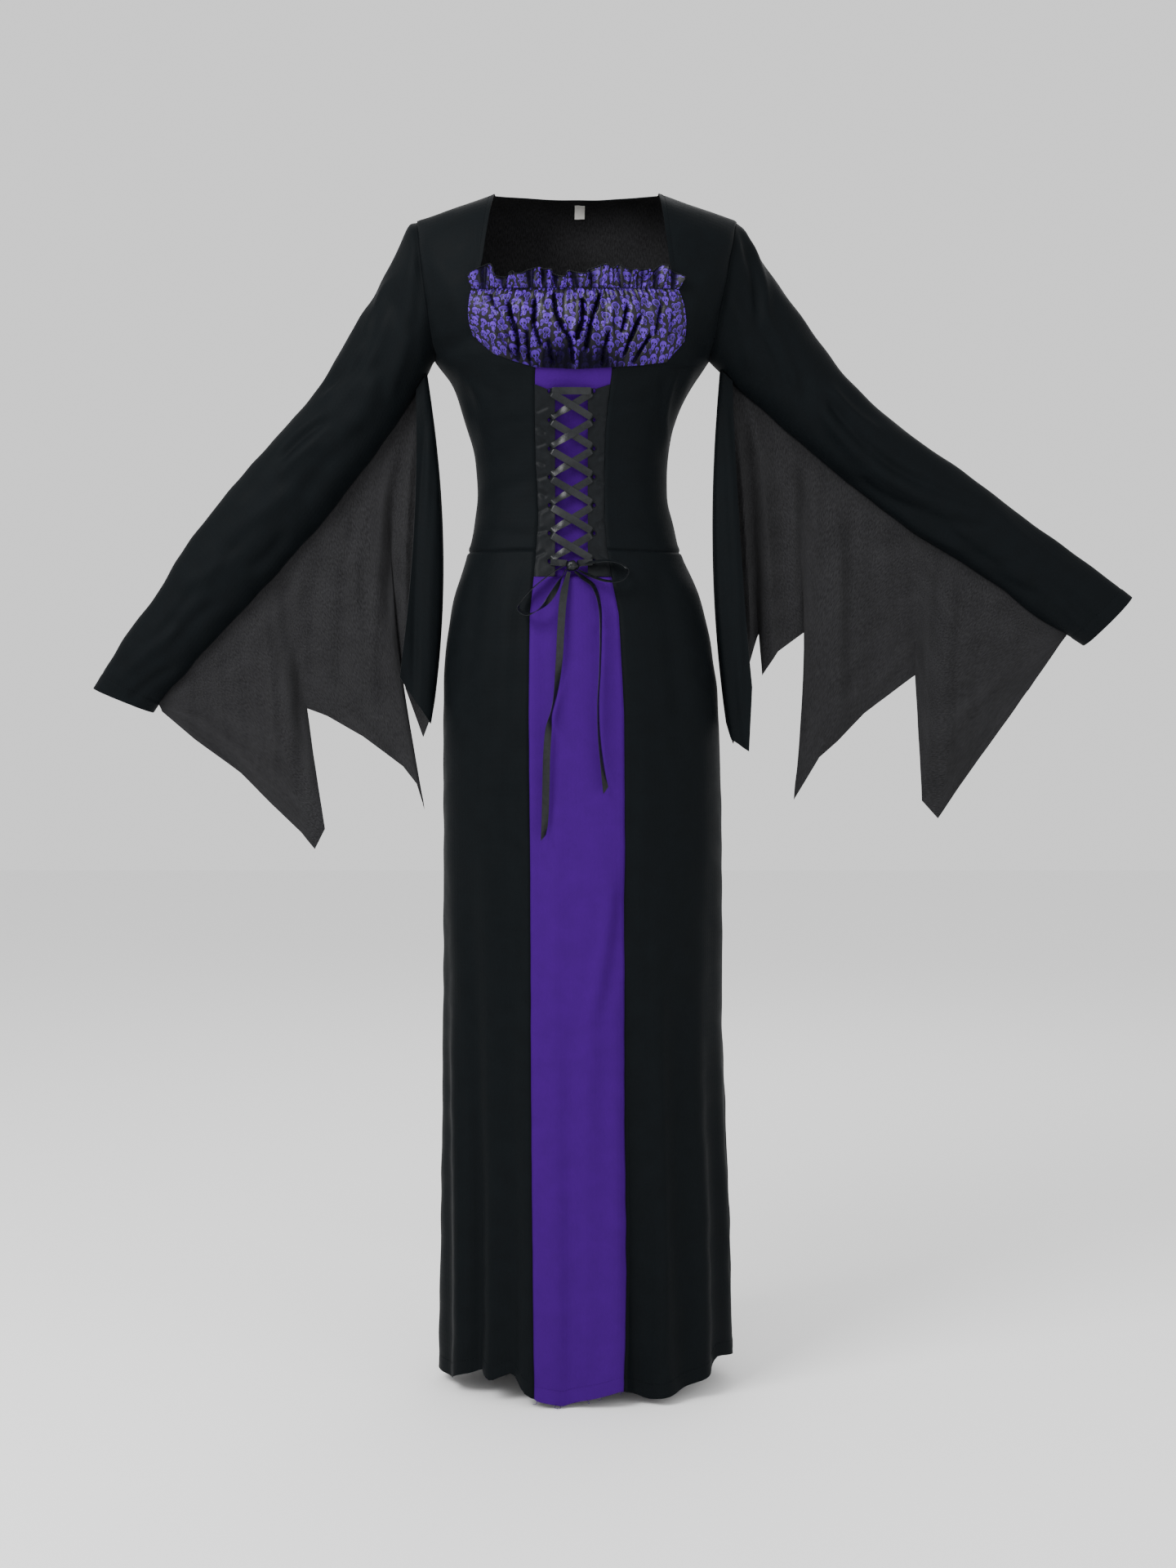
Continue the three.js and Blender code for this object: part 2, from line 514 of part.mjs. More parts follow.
function addMesh(name, look, positions, indices) {
  let volume = 0;
  const corner = (k) => new THREE.Vector3(...positions.slice(3 * k, 3 * k + 3));
  for (let k = 0; k < indices.length; k += 3) {
    const [a, b, c] = [corner(indices[k]), corner(indices[k + 1]), corner(indices[k + 2])];
    volume += a.dot(b.cross(c));
  }
  const faces = volume < 0 ? [...indices].reverse() : indices;
  const geometry = new THREE.BufferGeometry();
  geometry.setAttribute('position', new THREE.Float32BufferAttribute(positions, 3));
  geometry.setIndex(faces);
  geometry.computeVertexNormals();
  const mesh = new THREE.Mesh(geometry, new THREE.MeshStandardMaterial({ ...look, metalness: 0 }));
  mesh.name = name;
  gown.add(mesh);
  return mesh;
}

// Moves the points of a grid's edge half a seam's clearance back from the seam
function trimEdges(points, closed) {
  const back = (edge, next) => edge.add(next.clone().sub(edge).setLength(SEAM / 2));
  const last = points.length - 1;
  for (let j = 0; j < points[0].length; j += 1) {
    back(points[0][j], points[1][j]);
    back(points[last][j], points[last - 1][j]);
  }
  if (!closed) {
    for (const row of points) {
      back(row[0], row[1]);
      back(row[row.length - 1], row[row.length - 2]);
    }
  }
}

// The direction out of the cloth at each point
function outward(points, closed, facing) {
  const rows = points.length;
  const cols = points[0].length;
  const at = (i, j) => points[clamp(i, 0, rows - 1)][closed ? (j + cols) % cols : clamp(j, 0, cols - 1)];
  const normals = points.map((row, i) =>
    row.map((_, j) => {
      const across = at(i, j + 1).clone().sub(at(i, j - 1));
      const along = at(i + 1, j).clone().sub(at(i - 1, j));
      return across.cross(along).normalize();
    })
  );
  const sign = Math.sign(normals[Math.floor(rows / 2)][facing.column].dot(facing.way));
  return normals.map((row) => row.map((normal) => normal.multiplyScalar(sign)));
}

// An edge that meets its neighbour at an angle keeps the cloth's direction in the seam's
// plane, whose normal plane.first, last, left or right gives for a height.
function levelAtSeams(normals, points, plane) {
  const rows = points.length;
  const cols = points[0].length;
  normals.forEach((row, i) =>
    row.forEach((way, j) => {
      const seams = [
        i === 0 && plane.first,
        i === rows - 1 && plane.last,
        j === 0 && plane.left,
        j === cols - 1 && plane.right,
      ];
      for (const seam of seams.filter(Boolean)) {
        const across = seam(points[i][j].z);
        way.addScaledVector(across, -way.dot(across)).normalize();
      }
    })
  );
}

// The direction out of the body's surface, taken on the side of it that towards lies on
function bodyNormal(place, towards) {
  const step = place.turn < towards ? TURN_STEP : -TURN_STEP;
  const here = bodyPoint(place.turn, place.z);
  const across = bodyPoint(place.turn + step, place.z).sub(here).multiplyScalar(Math.sign(step));
  const up = bodyPoint(place.turn, place.z + LEVEL_STEP).sub(bodyPoint(place.turn, place.z - LEVEL_STEP));
  return across.cross(up).normalize();
}

// A wall that follows the body's surface through a grid of places on it
function bodyWall(name, look, places, plane) {
  const towards = (places[0][0].turn + places[0][places[0].length - 1].turn) / 2;
  const points = places.map((row) => row.map((place) => bodyPoint(place.turn, place.z)));
  const normals = places.map((row) => row.map((place) => bodyNormal(place, towards)));
  return clothWall(name, look, points, { normals, plane });
}

// A closed wall of cloth: the grid is its outside, and its inside lies one thickness further in
function clothWall(name, look, points, options = {}) {
  const closed = options.closed ?? false;
  const thick = options.thick ?? CLOTH;
  const column = options.column ?? Math.floor(points[0].length / 2);
  const facing = { column, way: options.way ?? new THREE.Vector3(0, -1, 0) };
  trimEdges(points, closed);
  const normals = options.normals ?? outward(points, closed, facing);
  levelAtSeams(normals, points, options.plane ?? {});
  const rows = points.length;
  const cols = points[0].length;
  const positions = [];
  for (const depth of [0, thick]) {
    points.forEach((row, i) =>
      row.forEach((point, j) => {
        positions.push(...point.clone().addScaledVector(normals[i][j], -depth).toArray());
      })
    );
  }
  const outer = (i, j) => i * cols + (j % cols);
  const inner = (i, j) => rows * cols + outer(i, j);
  const indices = [];
  const quad = (a, b, c, d) => indices.push(a, b, c, a, c, d);
  const span = closed ? cols : cols - 1;
  for (let i = 0; i < rows - 1; i += 1) {
    for (let j = 0; j < span; j += 1) {
      quad(outer(i, j), outer(i, j + 1), outer(i + 1, j + 1), outer(i + 1, j));
      quad(inner(i, j), inner(i + 1, j), inner(i + 1, j + 1), inner(i, j + 1));
    }
  }
  for (let j = 0; j < span; j += 1) {
    quad(outer(0, j), inner(0, j), inner(0, j + 1), outer(0, j + 1));
    quad(outer(rows - 1, j), outer(rows - 1, j + 1), inner(rows - 1, j + 1), inner(rows - 1, j));
  }
  if (!closed) {
    for (let i = 0; i < rows - 1; i += 1) {
      quad(outer(i, 0), outer(i + 1, 0), inner(i + 1, 0), inner(i, 0));
      quad(outer(i, cols - 1), inner(i, cols - 1), inner(i + 1, cols - 1), outer(i + 1, cols - 1));
    }
  }
  return addMesh(name, look, positions, indices);
}

// The planes in which the seams lie
const BODICE_ROWS = [
  ...BODICE_LEVELS.map((z) => () => z),
  ...BODICE_SHARES.map((share) => (turn) => mix(UNDERARM, topAt(turn), share)),
];
const ARMHOLE_LEFT = armholePlane('left');
const ARMHOLE_RIGHT = armholePlane('right');
const UP = new THREE.Vector3(0, 0, 1);
const AHEAD = new THREE.Vector3(0, -1, 0);
const levelSeam = () => UP;
const uprightSeam = () => AHEAD;
const armholeLeft = (z) => (z > UNDERARM ? ARMHOLE_LEFT : AHEAD);
const armholeRight = (z) => (z > UNDERARM ? ARMHOLE_RIGHT : AHEAD);

function frontBodice(name, side, sideTurn) {
  const places = BODICE_ROWS.map((height) =>
    evenly(0, 1, FRONT_COLUMNS).map((share) => {
      const top = mix(seamTurn(side, NECK_HEIGHT), sideTurn, share);
      const z = height(top);
      return { turn: mix(seamTurn(side, z), sideTurn, share), z };
    })
  );
  const armhole = side === 'left' ? armholeLeft : armholeRight;
  bodyWall(name, BLACK, places, { first: levelSeam, last: uprightSeam, right: armhole });
}

function backBodice() {
  const neckLeft = Math.PI - seamTurn('left', NECK_HEIGHT);
  const neckRight = Math.PI - seamTurn('right', NECK_HEIGHT);
  const turns = [
    ...evenly(BACK_RIGHT, neckRight, BACK_SHOULDER_COLUMNS).slice(0, -1),
    ...evenly(neckRight, neckLeft, BACK_NECK_COLUMNS),
    ...evenly(neckLeft, BACK_LEFT, BACK_SHOULDER_COLUMNS).slice(1),
  ];
  const places = BODICE_ROWS.map((height) => turns.map((turn) => ({ turn, z: height(turn) })));
  const plane = { first: levelSeam, last: uprightSeam, left: armholeRight, right: armholeLeft };
  bodyWall('back_bodice', BLACK, places, plane);
}

// A level's height at a turn, eased into the uneven hem
function hemmed(turn, z) {
  const eased = clamp((HEM_EASE - z) / (HEM_EASE - HEM), 0, 1);
  return z + eased * straight(HEM_RISE, 'at', THREE.MathUtils.radToDeg(turn), 'rise');
}

function skirtPanel(name, look, from, to, columns, levels, edges) {
  const places = levels.map((z) =>
    evenly(from(z), to(z), columns).map((turn) => ({ turn, z: hemmed(turn, z) }))
  );
  bodyWall(name, look, places, { first: levelSeam, ...edges });
}

function sleeve(name, table, armhole) {
  const points = table.map((row) =>
    evenly(0, 2 * Math.PI, SLEEVE_COLUMNS)
      .slice(0, -1)
      .map((turn) => {
        const lift = Math.cos(turn);
        return new THREE.Vector3(
          mix(row.lowX, row.upX, (1 + lift) / 2),
          row.behind - row.half * Math.sin(turn),
          mix(row.lowZ, row.upZ, (1 + lift) / 2)
        );
      })
  );
  const column = SLEEVE_COLUMNS / 4;
  clothWall(name, BLACK, points, { closed: true, column, plane: { first: () => armhole } });
}

// The lower edge of a sleeve at a counted place, with the seam's clearance under it
function sleeveFoot(table, at) {
  const low = new THREE.Vector3(counted(table, at, 'lowX'), 0, counted(table, at, 'lowZ'));
  const up = new THREE.Vector3(counted(table, at, 'upX'), 0, counted(table, at, 'upZ'));
  const foot = low.clone().add(low.clone().sub(up).setLength(WING_SEAM));
  return foot.setY(counted(table, at, 'behind'));
}

function wing(name, table, sleeveTable) {
  const columns = table.map((row) => {
    const top = sleeveFoot(sleeveTable, row.seam);
    top.y -= row.ahead;
    const hem = new THREE.Vector3(row.hemX, top.y - row.push, row.hemZ);
    return WING_SHARES.map((v) => {
      const bow = 4 * v * (1 - v) * (row.midX - (top.x + hem.x) / 2);
      return new THREE.Vector3(mix(top.x, hem.x, v) + bow, mix(top.y, hem.y, v), mix(top.z, hem.z, v));
    });
  });
  const points = WING_SHARES.map((_, i) => columns.map((column) => column[i].clone()));
  clothWall(name, GREY, points, { column: 4 });
}

function bustPanel() {
  const first = BUST_OUTLINE[0].x;
  const last = BUST_OUTLINE[BUST_OUTLINE.length - 1].x;
  const points = BUST_SHARES.map((v) =>
    evenly(0, 1, BUST_COLUMNS).map((u) => {
      const foot = mix(first, last, u);
      const z = mix(BUST_TOP, straight(BUST_OUTLINE, 'x', foot, 'z'), v);
      const widen = BUST_WIDEN * (2 * u - 1) * 4 * v * (1 - v);
      const x = mix(mix(BUST_TOP_X.left, BUST_TOP_X.right, u), foot, v) + widen;
      const bulge = BUST_BULGE * Math.sin(Math.PI * u) ** BUST_ROUND * Math.sin(Math.PI * v);
      const gather = GATHER_DEPTH * Math.sin(2 * Math.PI * BUST_GATHERS * u) * Math.sin(Math.PI * v);
      const out = LAYER + SATIN + bulge + gather * Math.sin(Math.PI * u);
      return onFront(x, z, out);
    })
  );
  clothWall('bust_panel', PRINT, points, { thick: SATIN });
}

function bustRuffle() {
  const points = RUFFLE_SHARES.map((v) =>
    evenly(0, 1, 5 * RUFFLE_WAVES).map((u) => {
      const swing = Math.sin(2 * Math.PI * RUFFLE_WAVES * u);
      const scallop = SCALLOP_HEIGHT * Math.cos(2 * Math.PI * RUFFLE_SCALLOPS * u);
      const z = mix(RUFFLE_FOOT, RUFFLE_TOP + scallop, v);
      const out = LAYER + SATIN + v * (RUFFLE_LEAN + RUFFLE_DEPTH * swing);
      return onFront(mix(RUFFLE_X.left, RUFFLE_X.right, u), z, out);
    })
  );
  clothWall('bust_ruffle', PRINT, points, { thick: SATIN });
}

function modestyPanel() {
  const inset = -(CLOTH + LAYER);
  const points = MODESTY_LEVELS.map((z) => {
    const left = straight(FRONT_SEAMS, 'z', z, 'left');
    const right = straight(FRONT_SEAMS, 'z', z, 'right');
    return evenly(left, right, CENTRE_COLUMNS).map((x) => onFront(x, z, inset));
  });
  clothWall('modesty_panel', PURPLE, points, { plane: { last: levelSeam } });
}

const wasm = await Module();
wasm.setup();

function toManifold(geometry) {
  const bare = geometry.clone();
  bare.deleteAttribute('normal');
  const merged = mergeVertices(bare);
  const triVerts = Uint32Array.from(merged.index.array);
  const vertProperties = Float32Array.from(merged.attributes.position.array);
  return new wasm.Manifold(new wasm.Mesh({ numProp: 3, vertProperties, triVerts }));
}

function fromManifold(solid) {
  const mesh = solid.getMesh();
  const geometry = new THREE.BufferGeometry();
  geometry.setAttribute('position', new THREE.Float32BufferAttribute(mesh.vertProperties, 3));
  geometry.setIndex([...mesh.triVerts]);
  geometry.computeVertexNormals();
  return geometry;
}

function eyeletHeight(k) {
  return EYELET_TOP - EYELET_STEP * k;
}

function placket(name, side) {
  const seam = (z) => straight(FRONT_SEAMS, 'z', z, side);
  const edge = PLACKET_EDGE[side];
  const points = PLACKET_LEVELS.map((z, i) =>
    evenly(0, 1, 2).map((share) => {
      const level = i === 0 ? z - PLACKET_SLANT * share : z;
      return onFront(mix(seam(level), edge, share), level);
    })
  );
  const mesh = clothWall(name, BLACK_SATIN, points, { plane: { last: levelSeam } });
  let solid = toManifold(mesh.geometry);
  for (let k = 0; k < EYELETS; k += 1) {
    const punch = new THREE.CylinderGeometry(EYELET_RADIUS, EYELET_RADIUS, 30 * CLOTH, EYELET_SIDES);
    const centre = onFront(EYELET_X[side], eyeletHeight(k));
    punch.deleteAttribute('uv');
    punch.translate(centre.x, centre.y, centre.z);
    solid = solid.subtract(toManifold(punch));
  }
  mesh.geometry = fromManifold(solid);
}

// A flat ribbon along a path, with its width and the direction of that width at each point
function ribbon(name, path, widths, across) {
  const points = path.map((centre, k) => {
    const half = across[k].clone().setLength(widths[k] / 2);
    return [centre.clone().sub(half), centre.clone(), centre.clone().add(half)];
  });
  return clothWall(name, BLACK_SATIN, points, { thick: SATIN, column: 1 });
}

// The direction on the front's surface that has a given slope across and up
function alongFront(x, z, acrossShare, upShare) {
  const across = onFront(x + 1, z).sub(onFront(x - 1, z));
  const up = onFront(x, z + 1).sub(onFront(x, z - 1));
  return across.multiplyScalar(acrossShare).addScaledVector(up, upShare);
}

// The upper bar, the six crossings below it, and both ends of the lace that run to the knot
function lacing() {
  const clear = LACE_CLEAR + SATIN;
  const bar = evenly(0, 1, 6).map((t) => {
    const x = mix(EYELET_X.left, EYELET_X.right, t);
    return onFront(x, EYELET_TOP, clear + BAR_RISE * Math.sin(Math.PI * t));
  });
  const upright = bar.map((point) => alongFront(point.x, point.z, 0, 1));
  ribbon('lace_bar', bar, bar.map(() => RIBBON), upright);
  for (let k = 0; k < EYELETS - 1; k += 1) {
    const high = eyeletHeight(k) - LACE_OFFSET;
    const low = eyeletHeight(k + 1) + LACE_OFFSET;
    for (const way of ['down', 'up']) {
      const [from, to] = way === 'down' ? [high, low] : [low, high];
      const over = (k % 2 === 0) === (way === 'down');
      const path = evenly(0, 1, 8).map((t) => {
        const x = mix(EYELET_X.left, EYELET_X.right, t);
        const rise = over ? (SATIN + RIBBON_LIFT) * Math.sin(Math.PI * t) : 0;
        return onFront(x, mix(from, to, t), clear + rise);
      });
      const slope = Math.sign(to - from) * LACE_LEAN;
      const across = path.map((point) => alongFront(point.x, point.z, -slope, 1));
      const widths = path.map((_, i) => RIBBON * (i === 0 || i === 8 ? PINCHED_SHARE : LACE_SHARE));
      ribbon(`lace_${way}_${k + 1}`, path, widths, across);
    }
  }
  for (const side of ['right', 'left']) {
    const eyelet = side === 'right' ? EYELET_X.left : EYELET_X.right;
    const knot = KNOT.x + Math.sign(eyelet - KNOT.x) * LACE_END.aside;
    const path = evenly(0, 1, 4).map((t) => {
      const z = mix(eyeletHeight(EYELETS - 1) - LACE_END.below, KNOT.z + LACE_END.above, t);
      return onFront(mix(eyelet, knot, t), z, clear + LACE_END.lift * t);
    });
    const across = path.map((point) => alongFront(point.x, point.z, 0, 1));
    const widths = path.map((_, i) => RIBBON * (LACE_END.wide - LACE_END.taper * i));
    ribbon(`lace_end_${side}`, path, widths, across);
  }
}

function bowPath(rows) {
  const curve = new THREE.CatmullRomCurve3(
    rows.map((row) => {
      const base = onFront(row.x, row.z, BOW_LIFT);
      return new THREE.Vector3(row.x, base.y - row.y, row.z);
    })
  );
  return curve.getPoints(rows.length * 2);
}

function bowRibbon(name, rows, turn, twist) {
  const path = bowPath(rows);
  const across = path.map((_, k) => {
    const angle = mix(turn, turn + twist, k / (path.length - 1));
    return new THREE.Vector3(Math.cos(angle), Math.sin(angle), BOW_LEAN);
  });
  const widths = path.map((_, k) => RIBBON * (k < 2 ? BOW_PINCH : 1));
  ribbon(name, path, widths, across);
}

function bow() {
  const centre = onFront(KNOT.x, KNOT.z, KNOT.lift);
  const outline = new THREE.SphereGeometry(0.5, 12, 8);
  outline.deleteAttribute('uv');
  outline.deleteAttribute('normal');
  outline.scale(KNOT.width, KNOT.depth, KNOT.height);
  outline.translate(centre.x, centre.y, centre.z);
  const knot = mergeVertices(outline);
  addMesh('bow_knot', BLACK_SATIN, [...knot.attributes.position.array], [...knot.index.array]);
  for (const [name, way] of Object.entries(BOW_RIBBONS)) {
    bowRibbon(name, way.rows, way.turn, way.twist);
  }
}

function sizeLabel() {
  const inside = CLOTH + 2 * LAYER;
  const top = NECK_HEIGHT + NAPE_RISE - LABEL.below;
  const points = [0, 0.5, 1].map((v) =>
    evenly(-0.5, 0.5, 2).map((u) => {
      const turn = Math.PI - turnAt(LABEL.x + LABEL.width * u, 0);
      const z = top - LABEL.height * v;
      const slope = bodyPoint(turn, z + 1).sub(bodyPoint(turn, z - 1));
      const inward = new THREE.Vector3(0, -slope.z, slope.y).setLength(inside);
      return bodyPoint(turn, z).add(inward);
    })
  );
  clothWall('size_label', WHITE, points, { thick: LABEL.thick, way: new THREE.Vector3(0, 1, 0) });
}

// The gown, piece by piece
frontBodice('front_bodice_right', 'left', SIDE_LEFT);
frontBodice('front_bodice_left', 'right', SIDE_RIGHT);
backBodice();
bustPanel();
bustRuffle();
modestyPanel();
placket('placket_right', 'left');
placket('placket_left', 'right');
lacing();
bow();
sizeLabel();
const seamLeft = (z) => seamTurn('left', z);
const seamRight = (z) => seamTurn('right', z);
const sideLeft = () => SIDE_LEFT;
const sideRight = () => SIDE_RIGHT;
const backRight = () => BACK_RIGHT;
const backLeft = () => BACK_LEFT;
const sideLevels = [WAIST, ...SKIRT_LEVELS];
const rightSkirtSeams = { left: uprightSeam };
const leftSkirtSeams = { right: uprightSeam };
const backSeams = { left: uprightSeam, right: uprightSeam };
skirtPanel('skirt_front_right', BLACK, sideLeft, seamLeft, SIDE_SKIRT_COLUMNS, sideLevels, rightSkirtSeams);
skirtPanel('skirt_front_left', BLACK, seamRight, sideRight, SIDE_SKIRT_COLUMNS, sideLevels, leftSkirtSeams);
skirtPanel('skirt_centre', PURPLE, seamLeft, seamRight, CENTRE_COLUMNS, SKIRT_LEVELS, {});
skirtPanel('skirt_back', BLACK, backRight, backLeft, BACK_SKIRT_COLUMNS, sideLevels, backSeams);
sleeve('sleeve_right', SLEEVE_RIGHT, ARMHOLE_LEFT);
sleeve('sleeve_left', SLEEVE_LEFT, ARMHOLE_RIGHT);
wing('wing_right', WING_RIGHT, SLEEVE_RIGHT);
wing('wing_left', WING_LEFT, SLEEVE_LEFT);

export default gown;
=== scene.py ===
"""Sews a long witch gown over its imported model: knit panels, print, lacing, bow and wings."""
import math

import bpy
import numpy as np
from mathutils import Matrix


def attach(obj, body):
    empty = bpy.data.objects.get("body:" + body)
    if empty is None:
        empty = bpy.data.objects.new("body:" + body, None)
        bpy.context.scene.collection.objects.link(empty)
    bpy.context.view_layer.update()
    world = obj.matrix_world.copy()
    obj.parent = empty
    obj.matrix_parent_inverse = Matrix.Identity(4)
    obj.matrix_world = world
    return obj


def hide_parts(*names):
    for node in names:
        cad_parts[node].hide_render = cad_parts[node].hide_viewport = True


bl_info = {
    "name": "Witch gown",
    "version": (1, 0, 0),
    "blender": (4, 5, 0),
    "location": "3D View > Sidebar > Gown",
    "description": "Sews the panels, bust, lacing, bow and wings of a long witch gown",
    "category": "Object",
}

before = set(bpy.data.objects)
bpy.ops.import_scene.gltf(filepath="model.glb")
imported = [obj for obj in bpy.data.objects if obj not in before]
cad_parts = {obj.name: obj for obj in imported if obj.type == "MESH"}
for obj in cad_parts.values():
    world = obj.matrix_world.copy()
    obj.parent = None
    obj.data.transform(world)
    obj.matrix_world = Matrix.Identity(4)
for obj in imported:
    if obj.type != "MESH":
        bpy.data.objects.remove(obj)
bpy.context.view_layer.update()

MM = 0.001
rng = np.random.default_rng(31)

# Levels and sizes of the gown, in millimetres, the same as its solids have
ROUNDNESS = 2.2
NECK_HALF = 97
NECK_HEIGHT = 14.6
SHOULDER_DROP = 31
SHOULDER_ROLL = 105
SHOULDER_LENGTH = 93
BACK_NECK = 46
NAPE_RISE = 3
ARM_HALF_DEPTH = 54
UNDERARM = -183.6
WAIST = -412
POINT = -443
HEM = -1393
BUST_FOOT = -200.5
PLACKET_TOP = -221
PLACKET_SLANT = 9
BUST_TOP = -111
LAYER = 0.6
EYELETS = 7
EYELET_TOP = -229
EYELET_STEP = 32.7
EYELET_RADIUS = 2.6
EYELET_X = {"left": -31, "right": 19.5}
PLACKET_EDGE = {"left": -25, "right": 13}
KNOT = (-4.7, -431, 4.2)
BOW_LIFT = 4
NECK_HEM = 5
SKIRT_HEM = 14
CUFF_HEM = 18

# Width and height of print that the bust panel and its ruffle take up, in metres, and how many
# gathers, folds and waves lie across them
BUST_CLOTH = (0.30, 0.098)
RUFFLE_CLOTH = (0.38, 0.028)
ELASTIC_GATHERS = 46
FOOT_GATHERS = 34
SLACK_FOLDS = 17
RUFFLE_WAVES = 11

# Edges of the panels: SEAM stands in place of a hem's depth, EVERYWHERE is the span of heights of
# an edge that is sewn from end to end, and SIDE is the side seam's turn, just inside the outline
SEAM = 0
EVERYWHERE = (-1500, 100)
SIDE = math.pi / 2 - 1e-6

# Grids of the cloth: close rows and columns beside a seam, in millimetres, and plain counts
FINE = np.array((0, 0.8, 1.8, 3.2))
SEAM_MARGIN = 3.2 + 1.5
BODICE_ROWS = 46
SLEEVE_COLUMNS = 88

# Camera and floor: place and floor's height in metres, shift in pixels of the photo's height
CAMERA_PLACE = (0, -3.0, -0.532)
LENS = 57.63
CAMERA_SHIFT = (14, -160)
PHOTO_HEIGHT = 1920
FLOOR = -1.3965

# Body sections: height, outline at the viewer's left and right, depth to front and back
SECTIONS = np.array([
    (15, -193.3, 196.2, 88, 90), (-60, -184.1, 181.8, 100, 94), (-120, -176.7, 170.2, 110, 94),
    (UNDERARM, -168.9, 158, 110, 90), (-215, -147.4, 136.7, 104, 84), (-250, -135, 120, 97, 78),
    (-300, -120.5, 109.3, 89, 74), (-345, -118, 107.5, 86, 74), (-375, -121, 113.5, 88, 78),
    (WAIST, -128.4, 123.5, 92, 84), (-465, -145.4, 146.6, 104, 98), (-528, -156, 160.5, 114, 110),
    (-600, -158.5, 168.8, 120, 116), (-795, -158.5, 173.7, 124, 122),
    (-950, -159, 173.5, 126, 124), (-1072, -160.5, 178.6, 128, 126),
    (-1195, -162, 185.4, 131, 128), (HEM, -164, 191, 135, 132),
], float)

# Inner seams of the front pieces: height, viewer's left, viewer's right
FRONT_SEAMS = np.array([
    (NECK_HEIGHT, -97, 97), (-77.3, -109.6, 107.7), (-96.7, -115.7, 112.8), (-129.7, -122, 122.5),
    (-163.7, -117.4, 122.5), (UNDERARM, -95.6, 112), (-193, -72, 99), (BUST_FOOT, -48, 41.6),
    (-212, -48.9, 40.9), (-240, -48.8, 36.6), (-275, -48.4, 33.4), (-310, -47.8, 32.4),
    (-345, -45.6, 32.1), (-376, -44.6, 32.2), (WAIST, -47.1, 35.4), (POINT, -49.6, 40.4),
    (-487, -54.4, 49.2), (-600, -55.4, 54.8), (-790, -53.5, 57.3), (-1070, -52.6, 59.3),
    (-1250, -51, 61.9), (HEM, -48.8, 56.3),
], float)

# Grooves between skirt folds: degrees round the body, half width, depth at the hem, start
SKIRT_FOLDS = (
    (-74, 8, 10, -700), (-50, 7, 17, -640), (-29, 5, 14, -560), (-4, 6, 8, -860),
    (18.5, 6, 19, -600), (40, 7, 9, -820), (62, 8, 15, -720), (86, 7, 8, -900),
    (109, 8, 16, -680), (131, 7, 12, -760), (155, 9, 18, -600), (180, 7, 10, -820),
    (203, 8, 17, -640), (228, 7, 12, -780), (251, 8, 15, -700),
)

# How much higher the hem is than its lowest place, by degrees round the body
HEM_EASE = -1070
HEM_RISE = np.array([
    (-90, 10), (-72, 8), (-58, 20), (-47, 30), (-38, 22), (-30, 32), (-23, 13), (-16.5, 5),
    (-8, 0), (0, 7), (10.5, 17), (16, 11), (22.5, 4), (30, 7), (46, 17), (57, 24), (66, 37),
    (82, 33), (110, 22), (134, 12), (158, 19), (182, 9), (204, 18), (230, 10), (252, 19),
    (270, 10),
], float)

# Sleeve sections, armhole to cuff: upper x and z, lower x and z, half depth, distance behind
SLEEVES = {
    "right": np.array([
        (-189.9, -17.4, -169.5, -183.3, 54, 0), (-201.4, -23, -172.4, -188, 54, 0),
        (-217.8, -59.3, -179.7, -201.9, 52, 2), (-237.5, -95, -193.6, -224.1, 49, 5),
        (-260.3, -131.7, -209.4, -249.2, 47, 8), (-285.1, -172.4, -228.3, -275.3, 45, 12),
        (-311, -215.1, -251.2, -305.4, 42, 16), (-342.9, -251, -278, -340.4, 41, 20),
        (-374.9, -286, -308, -377.5, 40, 24), (-409.9, -325.1, -341, -413.7, 38, 29),
        (-445.1, -367.2, -374.1, -449.1, 36, 34), (-479.5, -412.4, -411.3, -487.5, 34, 39),
        (-511.2, -464.3, -449.6, -528, 31, 44), (-540.6, -500.3, -477.1, -557.8, 29, 49),
        (-564.9, -536.8, -496.9, -578.7, 27, 54), (-588.4, -574.8, -516.7, -603.7, 26, 60),
    ], float),
    "left": np.array([
        (190.6, -17.4, 158.7, -183.3, 54, 0), (200.4, -26, 163.2, -188, 54, 0),
        (209, -43, 172.9, -197, 52, 2), (226.8, -69.6, 188.7, -212.3, 49, 5),
        (248.6, -99.4, 206.5, -227.6, 47, 8), (271.4, -129.3, 225.4, -243, 45, 12),
        (294.3, -162.1, 246.3, -260.2, 42, 16), (322.3, -198, 271.2, -281.5, 41, 20),
        (360.1, -234.9, 301.1, -306.7, 40, 24), (401.1, -266.9, 336, -333.9, 38, 29),
        (444.1, -296.1, 381, -368.2, 36, 34), (488.4, -327.4, 427.1, -399.5, 34, 39),
        (533.8, -360.7, 472.4, -426, 31, 44), (579.3, -393.1, 517.8, -455.6, 29, 49),
        (627, -426.7, 562.4, -489.3, 27, 54), (677, -463.3, 618.2, -522, 26, 60),
    ], float),
}

